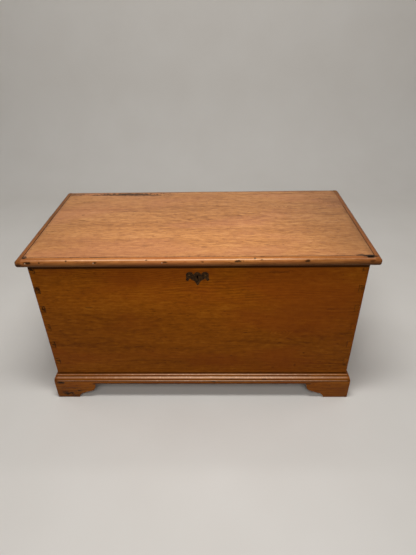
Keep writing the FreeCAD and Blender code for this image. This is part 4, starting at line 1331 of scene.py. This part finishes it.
@dataclass
class Plinth:
    """The moulded plinth with its bracket feet, and what stands behind them. Sizes are in millimetres."""

    arch: float = 76.0
    foot_base: float = 96.0
    left_trim: float = 8.5
    cove_end: Pair = (111.0, 22.0)
    cove_middle: Pair = (101.0, 12.0)
    lobe_start: Pair = (149.0, 35.0)
    lobe_middle: Pair = (164.0, 47.0)
    lobe_end: Pair = (171.0, 68.0)
    plain: float = 13.5
    bead: float = 5.4
    quirk: float = 1.4
    ovolo: float = 13.0
    ovolo_reach: float = 7.4
    edge: float = 1.3
    mitre: float = 40.0
    corner_wear: float = 0.5
    half: float = field(init=False)
    front: float = field(init=False)
    back: float = field(init=False)
    face: float = field(init=False)
    height: float = field(init=False)

    def __post_init__(self) -> None:
        """Reads the plinth's places from the frame, and keeps them in millimetres."""
        low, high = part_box("plinth_front")
        board_low, board_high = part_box("front_board")
        self.half = board_high.x / MM
        self.front = board_low.y / MM
        self.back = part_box("back_board")[1].y / MM
        self.face = self.front - low.y / MM
        self.height = high.z / MM

    def underside(self, reach: float) -> float:
        """Height of the plinth's lower edge.

        Args:
            reach: Distance from the nearer corner.

        Returns:
            The height, which is 0 under a foot.
        """
        if reach <= self.foot_base:
            return 0.0
        if reach <= self.cove_end[0]:
            return through((self.foot_base, 0.0), self.cove_middle, self.cove_end, reach)
        if reach <= self.lobe_start[0]:
            share = (reach - self.cove_end[0]) / (self.lobe_start[0] - self.cove_end[0])
            return self.cove_end[1] + share * (self.lobe_start[1] - self.cove_end[1])
        if reach <= self.lobe_end[0]:
            return through(self.lobe_start, self.lobe_middle, self.lobe_end, reach)
        return self.arch

    def profile(self, low: float) -> list[Pair]:
        """The plinth's closed section above one height of its lower edge.

        Args:
            low: Height of the lower edge.

        Returns:
            Points as (forward of the box, height).
        """
        face, groove, edge = self.face, self.face - self.quirk, self.edge
        bead_low = self.arch + self.plain
        bead_high = bead_low + self.bead
        ovolo_low = bead_high + self.quirk
        ovolo_high = ovolo_low + self.ovolo
        shelf = groove - self.ovolo_reach
        cap = shelf - self.quirk
        cap_low = ovolo_high + self.quirk
        face_top = bead_low - self.quirk
        points = [(0.0, low), (face - edge, low), (face - 0.35 * edge, low + 0.3 * edge), (face, low + edge)]
        points += [(face, low + edge + (face_top - low - edge) * share) for share in (0.2, 0.4, 0.6, 0.8, 1.0)]
        points.append((groove, bead_low))
        middle = (bead_low + bead_high) / 2
        reach = self.bead / 2
        points += [(groove + self.quirk * math.cos(t), middle + reach * math.sin(t))
                   for t in sweep(-75, 75, 8)]
        points += [(groove, bead_high), (groove, ovolo_low)]
        points += [(shelf + self.ovolo_reach * math.cos(t), ovolo_low + self.ovolo * math.sin(t))
                   for t in sweep(0, 90, 10)]
        rise = self.height - cap_low
        points += [(cap, ovolo_high + 0.2), (cap, cap_low)]
        points += [(cap * math.cos(t), cap_low + rise * math.sin(t)) for t in sweep(0, 90, 6)[1:]]
        points.append((0.0, self.height - 2.0))
        return points

    def stations(self, length: float, trim: float) -> list[float]:
        """Distances from the first corner at which sections stand, close together round the feet.

        Args:
            length: Length of the plinth from corner to corner.
            trim: How much shorter the first foot is.

        Returns:
            The distances.
        """
        step = 0.05
        foot = list(np.linspace(20, self.foot_base, 11)) + [self.foot_base + step]
        foot += list(np.linspace(self.foot_base, self.cove_end[0], 10)[1:])
        foot += list(np.linspace(self.cove_end[0], self.lobe_start[0], 6)[1:])
        foot += list(np.linspace(self.lobe_start[0], self.lobe_end[0], 12)[1:])
        foot += [self.lobe_end[0] + step]
        middle = list(np.linspace(self.lobe_end[0] + 8, length / 2, round((length / 2 - self.lobe_end[0]) / 9)))
        near = [reach - trim for reach in foot + middle[:-1]]
        far = [length - reach for reach in reversed(foot + middle)]
        return [0.0, 6.0] + near + far + [length - 6.0, length]

    def rail(self, name: str, length: float, place: Callable[[float, float, float], Vector],
             mitre_last: bool) -> Piece:
        """One side of the plinth, mitred at its first corner.

        Args:
            name: The piece's name.
            length: Length from corner to corner.
            place: Turns (distance from the first corner, forward of the box, height) into a point.
            mitre_last: Whether the far end is mitred too.

        Returns:
            The piece.
        """
        columns = []
        trim = self.left_trim if mitre_last else 0.0
        for reach in self.stations(length, trim):
            low = self.underside(min(reach + trim, length - reach))
            section = []
            for out, height in self.profile(low):
                behind = self.face - out
                shifted = reach + behind * max(1 - reach / self.mitre, 0.0)
                if mitre_last:
                    shifted -= behind * max(1 - (length - reach) / self.mitre, 0.0)
                wear = self.corner_wear * math.exp(-min(reach, length - reach if mitre_last else reach) / 1.5)
                section.append(place(shifted, out - wear * (out > 1), height))
            columns.append(section)
        return skinned(name, columns)

    def build(self) -> None:
        """Makes and dresses the plinth and the parts of the feet."""
        reach_x = self.half + self.face
        front_face = self.front - self.face

        def on_front(reach: float, out: float, height: float) -> Vector:
            """A point on the front piece."""
            return Vector((reach - reach_x, self.front - out, height)) * MM

        def on_side(side: int, reach: float, out: float, height: float) -> Vector:
            """A point on the right (1) or left (-1) piece."""
            return Vector((side * (self.half + out), front_face + reach, height)) * MM

        corner_stains = [DarkBlot((-571, front_face, 82), (20, 8, 6), 0.97, 0.8),
                         DarkBlot((-585, front_face + 7, 98), (10, 12, 8), 0.4, 0.7)]
        dark_blots = corner_stains + [DarkBlot((x, front_face, z), (width, 8, height), *row) for x, z, width, height, *row in (
            (-545, 22, 24, 6, 0.92, 1.0), (-497, 35, 15, 5, 0.85, 0.9), (48, 89, 14, 4, 0.9, 0.6),
            (72, 89, 5, 3, 0.8, 0.5), (-528, 53, 60, 2.2, 0.65, 0.7), (-520, 12, 26, 4, 0.7, 0.9),
        )]
        groove = self.arch + self.plain
        ovolo_low = groove + self.bead + self.quirk
        # The lines in the moulding's quirks, along the arch and along the feet's bottoms are painted shade; the line at
        # the top is a dark joint.
        dark_lines = [Stripe(Z, z, X, span, *row) for z, span, *row in (
            (groove - 0.4, (-600, 600), 1.6, 0.85, 0.15), (groove + self.bead + 0.7, (-600, 600), 1.6, 0.85, 0.15),
            (ovolo_low + self.ovolo + 0.7, (-600, 600), 1.7, 0.7, 0.2), (self.height, (-600, 600), 2.4, 0.8, 0.2),
            (self.arch, (-430, 430), 6.0, 0.85, 0.1), (0.0, (-600, 600), 7.0, 0.6, 0.4),
        )]
        # The feet are darker towards their lower corners.
        tones = [Tone((-600, front_face, 20), (240, 90, 70), -0.34), Tone((600, front_face, 20), (240, 90, 70), -0.3)]
        # Painted highlights along the crests of the bead, the cap and the ovolo, strongest in the middle of the front
        # and fainter towards the ends.
        highlight_ridges = [Stripe(Z, z, X, span, reach, share * strength, 0.45, fade)
                  for span, share, fade in (((-60, 200), 1.0, 420.0), ((-570, 570), 0.42, 12.0))
                  for z, reach, strength in ((groove + 0.78 * self.bead, 2.4, 0.88), (self.height - 3.4, 2.0, 0.82),
                                             (ovolo_low + 0.79 * self.ovolo, 3.9, 1.0))]
        timber = Timber(X, Z, (-60, -420), 4.2, 91.0, (Knot(-556, 28, 7), Knot(250, 100, 5)))
        material = PLINTH_PINE.material("plinth_front_wax", timber, dark_blots, dark_lines, tones, highlight_ridges)
        piece = self.rail("plinth_rail_front", 2 * reach_x, on_front, True)
        dent(piece, [Nick((48, front_face, 89), 8, 1.2), Nick((-571, front_face, 81), 8, 1.0),
                     Nick((-400, front_face + 3, 104), 9, 0.6), Nick((310, front_face, 89), 7, 0.6)],
             7.0, lambda point: point.y > (self.front - 0.2) * MM)
        dress(piece, material, "carcass", "plinth_pine", "plinth_front")
        for side, name in ((1, "right"), (-1, "left")):
            timber = Timber(Y, Z, (-90, side * 980), 4.2, 101.0 + side, (Knot(60 * side, 95, 6),))
            material = PLINTH_PINE.material(f"plinth_{name}_wax", timber, corner_stains, dark_lines, tones)
            piece = self.rail(f"plinth_rail_{name}", self.back - front_face, partial(on_side, side), False)
            dent(piece, [Nick((side * 591, 40, 88), 9, 0.8)], 8.0 + side,
                 lambda point: abs(point.x) < (self.half + 0.2) * MM)
            dress(piece, material, "carcass", "plinth_pine", f"plinth_{name}")
        shape = ((0, 0), (2.2, 0), (2.5, 0.3), (2.5, 1.2), (1.5, 1.3), (0.7, 42), (0, 42.3))
        dress_nails("plinth_rail_nails", "plinth_nails", shape, 0.6, 9.0, "carcass", "plinth_nail_rust")
        self.hidden_blocks()

    def hidden_blocks(self) -> None:
        """The glue blocks and the plain brackets of the rear feet."""
        for index, place in enumerate(("front_left", "front_right", "rear_left", "rear_right")):
            node = f"foot_block_{place}"
            low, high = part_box(node)
            heart = ((low.x + high.x) / 2 / MM + 60, (low.y + high.y) / 2 / MM + 25)
            dress_bare(node, Aging(edge=1.2, wave=0.8, cell=20.0), 30.0 + index,
                       Timber(Z, X, heart, 3.6, 120.0 + index), "block_pine")
        for side in ("left", "right"):
            dress_bare(f"rear_foot_bracket_{side}", Aging(edge=1.2, wave=0.7, cell=25.0), 40.0 + len(side),
                       Timber(X, Z, (120, 330), 4.4, 130.0 + len(side)), "block_pine")


# ------------------------------------------------------------------ hardware
def slot_cutter(grid: Grid) -> None:
    """Presses the slot of a screw's head into its face.

    Args:
        grid: The mesh of one screw, with its head up.
    """
    half, depth, reach = 0.35 * MM, 0.7 * MM, 6 * MM
    for x in (-half, half):
        bmesh.ops.bisect_plane(grid, geom=grid.verts[:] + grid.edges[:] + grid.faces[:],
                               plane_co=(x, 0, 0), plane_no=(1, 0, 0), dist=SLIVER)
    face_up = [face for face in grid.faces
               if face.normal.z > 0.9 and abs(face.calc_center_median().x) < half
               and face.calc_center_median().length < reach and face.calc_center_median().z > -0.3 * MM]
    result = bmesh.ops.extrude_face_region(grid, geom=face_up)
    moved = [item for item in result["geom"] if isinstance(item, bmesh.types.BMVert)]
    bmesh.ops.translate(grid, verts=moved, vec=(0, 0, -depth))
    bmesh.ops.delete(grid, geom=[face for face in face_up if face.is_valid], context="FACES")


@dataclass
class Hardware:
    """Hinges, lock and the plate round the keyhole."""

    screw_head: float = 3.4
    screw_shank: float = 1.7
    plate_edge: float = 0.5
    plate_border: float = 1.6
    plate_hollow: float = 0.35
    wear: Aging = Aging(edge=0.3, wave=0.1, cell=30.0, least_edge=3.0, least_face=50.0)

    def screws(self, name: str, node: str, length: float, body: str, slot: str, iron: Material) -> None:
        """Slotted screws in place of a group in the frame.

        Args:
            name: The piece's name.
            node: The group's name.
            length: Length of one screw in millimetres.
            body: The body that they move with.
            slot: The record's material slot.
            iron: Their material.
        """
        head, shank = self.screw_head - 0.05, self.screw_shank - 0.05
        sunken = 0.15
        profile = ((0, sunken), (0.6 * head, sunken), (head - 0.3, sunken), (head, 0.35), (head, 0.8), (shank, 2.3),
                   (shank, length * 0.6), (0.3, length - 0.4), (0, length - 0.3))
        piece = turned(name, profile, heads(node), 20, lambda index: 47.0 * index, slot_cutter)
        dress(piece, iron, body, slot, node)

    def plate(self) -> Piece:
        """The plate round the keyhole, with its edge rounded off and its face hollowed inside a border.

        Returns:
            The piece.
        """
        grid = welded("escutcheon")
        grid.normal_update()
        face = [side for side in grid.faces if side.normal.y < -0.99]
        edge = {vertex for side in face for vertex in side.verts
                if any(other.normal.y > -0.99 for other in vertex.link_faces)}
        for thickness, drop in ((self.plate_edge, 0.0), (self.plate_border, self.plate_hollow)):
            bmesh.ops.inset_region(grid, faces=face, thickness=thickness * MM, use_even_offset=False)
            for vertex in {vertex for side in face for vertex in side.verts}:
                vertex.co.y += drop * MM
        for vertex in edge:
            vertex.co.y += 0.6 * self.plate_edge * MM
        return new_piece("keyhole_plate", grid, 25.0)

    def build(self) -> None:
        """Makes and dresses the metalwork."""
        hinge_iron = IronFinish(rust_share=0.65).material("hinge_rust")
        lock_iron = IronFinish(dark=srgb(72, 66, 60), rust=srgb(92, 62, 44), rust_share=0.45,
                               roughness=0.5).material("lock_rust")
        for index, side in enumerate(("left", "right")):
            dress_aged(f"hinge_leaf_carcass_{side}", self.wear, 31.0 + index, hinge_iron, "carcass", "hinge_iron")
            dress_aged(f"hinge_leaf_lid_{side}", self.wear, 33.0 + index, hinge_iron, "lid", "hinge_iron")
            self.paint(f"hinge_pin_{side}", hinge_iron)
        self.screws("hinge_screws_below", "carcass_hinge_screws", 24, "carcass", "hinge_iron", hinge_iron)
        self.screws("hinge_screws_above", "lid_hinge_screws", 15, "lid", "hinge_iron", hinge_iron)
        for index, (node, body) in enumerate((("lock_plate", "carcass"), ("lock_cover", "carcass"),
                                              ("lock_bolt", "lock_bolt"), ("link_plate", "lid"))):
            dress_aged(node, self.wear, 41.0 + index, lock_iron, body, "lock_iron")
        for node in ("bolt_guides", "key_post"):
            self.paint(node, lock_iron)
        self.paint("bolt_spring", IronFinish(dark=srgb(92, 92, 94), wear_and_highlight=srgb(150, 150, 150), rust_share=0.2,
                                             roughness=0.4).material("spring_steel_dull"))
        self.screws("lock_cover_screws", "lock_screws", 15, "carcass", "lock_iron", lock_iron)
        self.screws("staple_plate_screws", "link_screws", 14, "lid", "lock_iron", lock_iron)
        brass = BrassFinish().material("brown_brass")
        dress(self.plate(), brass, "carcass", "aged_brass", "escutcheon")
        self.paint("escutcheon_pins", brass)

    def paint(self, node: str, material: Material) -> None:
        """Gives one of the frame's own parts a better finish.

        Args:
            node: The part's name.
            material: Its new material.
        """
        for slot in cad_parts[node].material_slots:
            slot.link = "OBJECT"
            slot.material = material


# ------------------------------------------------------------------ studio
@dataclass
class Studio:
    """The floor, the light and the camera."""

    eye: Triple = (0.0693, -1.4700, 1.3435)
    pitch_deg: float = 32.8276
    yaw_deg: float = -1.6077
    roll_deg: float = -1.2065
    focal_px: float = 419.934
    long_side_px: float = 555.0
    sensor_mm: float = 36.0

    def floor(self) -> None:
        """A pale floor that curves up behind the chest."""
        graph = Graph("studio_floor")
        point, _ = graph.place()
        mottle = graph.cloud(point, 3.0, 0.5, 3.0)
        colour = graph.mix(mottle, srgb(212, 207, 200), srgb(220, 216, 210))
        graph.finish(colour, 0.85, 0.0, specular=0.2)
        near, wall, turn, height, half = -4.0, 2.6, 0.8, 4.0, 5.0
        outline = [(near, 0.0), (wall - turn, 0.0)]
        outline += [(wall - turn + turn * math.sin(t), turn - turn * math.cos(t)) for t in sweep(0, 90, 12)[1:]]
        outline.append((wall, height))
        vertices = [(x, y, z) for y, z in outline for x in (-half, half)]
        faces = [(2 * i, 2 * i + 1, 2 * i + 3, 2 * i + 2) for i in range(len(outline) - 1)]
        mesh = bpy.data.meshes.new("studio_floor")
        mesh.from_pydata(vertices, [], faces)
        mesh.shade_smooth()
        mesh.materials.append(graph.material)
        floor = bpy.data.objects.new("studio_floor", mesh)
        bpy.context.scene.collection.objects.link(floor)
        floor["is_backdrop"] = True

    def lamp(self, name: str, place: Triple, aim: Triple, size: Pair, watts: float) -> None:
        """A rectangular soft light.

        Args:
            name: Its name.
            place: Where it hangs.
            aim: What it points at.
            size: Its width and depth.
            watts: Its power.
        """
        light = bpy.data.lights.new(name, "AREA")
        light.shape = "RECTANGLE"
        light.size, light.size_y = size
        light.energy = watts
        lamp = bpy.data.objects.new(name, light)
        lamp.location = place
        lamp.rotation_euler = (Vector(aim) - Vector(place)).to_track_quat("-Z", "Y").to_euler()
        bpy.context.scene.collection.objects.link(lamp)

    def light(self) -> None:
        """A soft room: a dim, even sky, and lights in front, on the backdrop, at both sides and overhead."""
        world = bpy.data.worlds.new("studio_sky")
        bpy.context.scene.world = world
        world.use_nodes = True
        sky = world.node_tree.nodes["Background"].inputs
        sky["Color"].default_value = (1.0, 0.985, 0.965, 1.0)
        sky["Strength"].default_value = 0.11
        self.lamp("front", (0.0, -2.3, 2.3), (0.0, -0.27, 0.35), (1.8, 1.0), 30.0)
        self.lamp("backdrop", (0.0, 0.9, 3.1), (0.0, 2.6, 1.0), (3.0, 0.5), 18.0)
        for side in (-1, 1):
            self.lamp("side", (3.0 * side, 0.8, 1.7), (0.0, 0.2, 0.3), (1.2, 1.2), 12.0)
        self.lamp("overhead", (0.0, -0.54, 2.2), (0.0, -0.2, 0.6), (0.8, 0.35), 22.5)

    def camera(self) -> None:
        """The camera, which looks down at the front."""
        pitch, yaw, roll = (math.radians(value) for value in (self.pitch_deg, self.yaw_deg, self.roll_deg))
        ahead = Vector((math.sin(yaw) * math.cos(pitch), math.cos(yaw) * math.cos(pitch), -math.sin(pitch)))
        level = ahead.cross(Vector((0, 0, 1))).normalized()
        upward = level.cross(ahead)
        right = math.cos(roll) * level + math.sin(roll) * upward
        up = -math.sin(roll) * level + math.cos(roll) * upward
        data = bpy.data.cameras.new("camera")
        data.sensor_fit = "AUTO"
        data.sensor_width = self.sensor_mm
        data.lens = self.focal_px / self.long_side_px * self.sensor_mm
        data.clip_end = 50.0
        camera = bpy.data.objects.new("camera", data)
        camera.matrix_world = Matrix((right, up, -ahead)).transposed().to_4x4()
        camera.location = self.eye
        bpy.context.scene.collection.objects.link(camera)
        bpy.context.scene.camera = camera

    def build(self) -> None:
        """Sets up the whole studio."""
        bpy.context.scene.view_settings.view_transform = "Standard"
        self.floor()
        self.light()
        self.camera()


def main() -> None:
    """Builds the looks of the chest, piece by piece, and works out its size before and after."""
    logging.basicConfig(level=logging.INFO, format="%(name)s: %(message)s")
    Studio().build()
    Lid().build()
    Carcass().build()
    Plinth().build()
    Hardware().build()
    sizes = [[list(corner) for corner in box] for box in (WHOLE_BEFORE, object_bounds())]


if __name__ == "__main__":
    main()
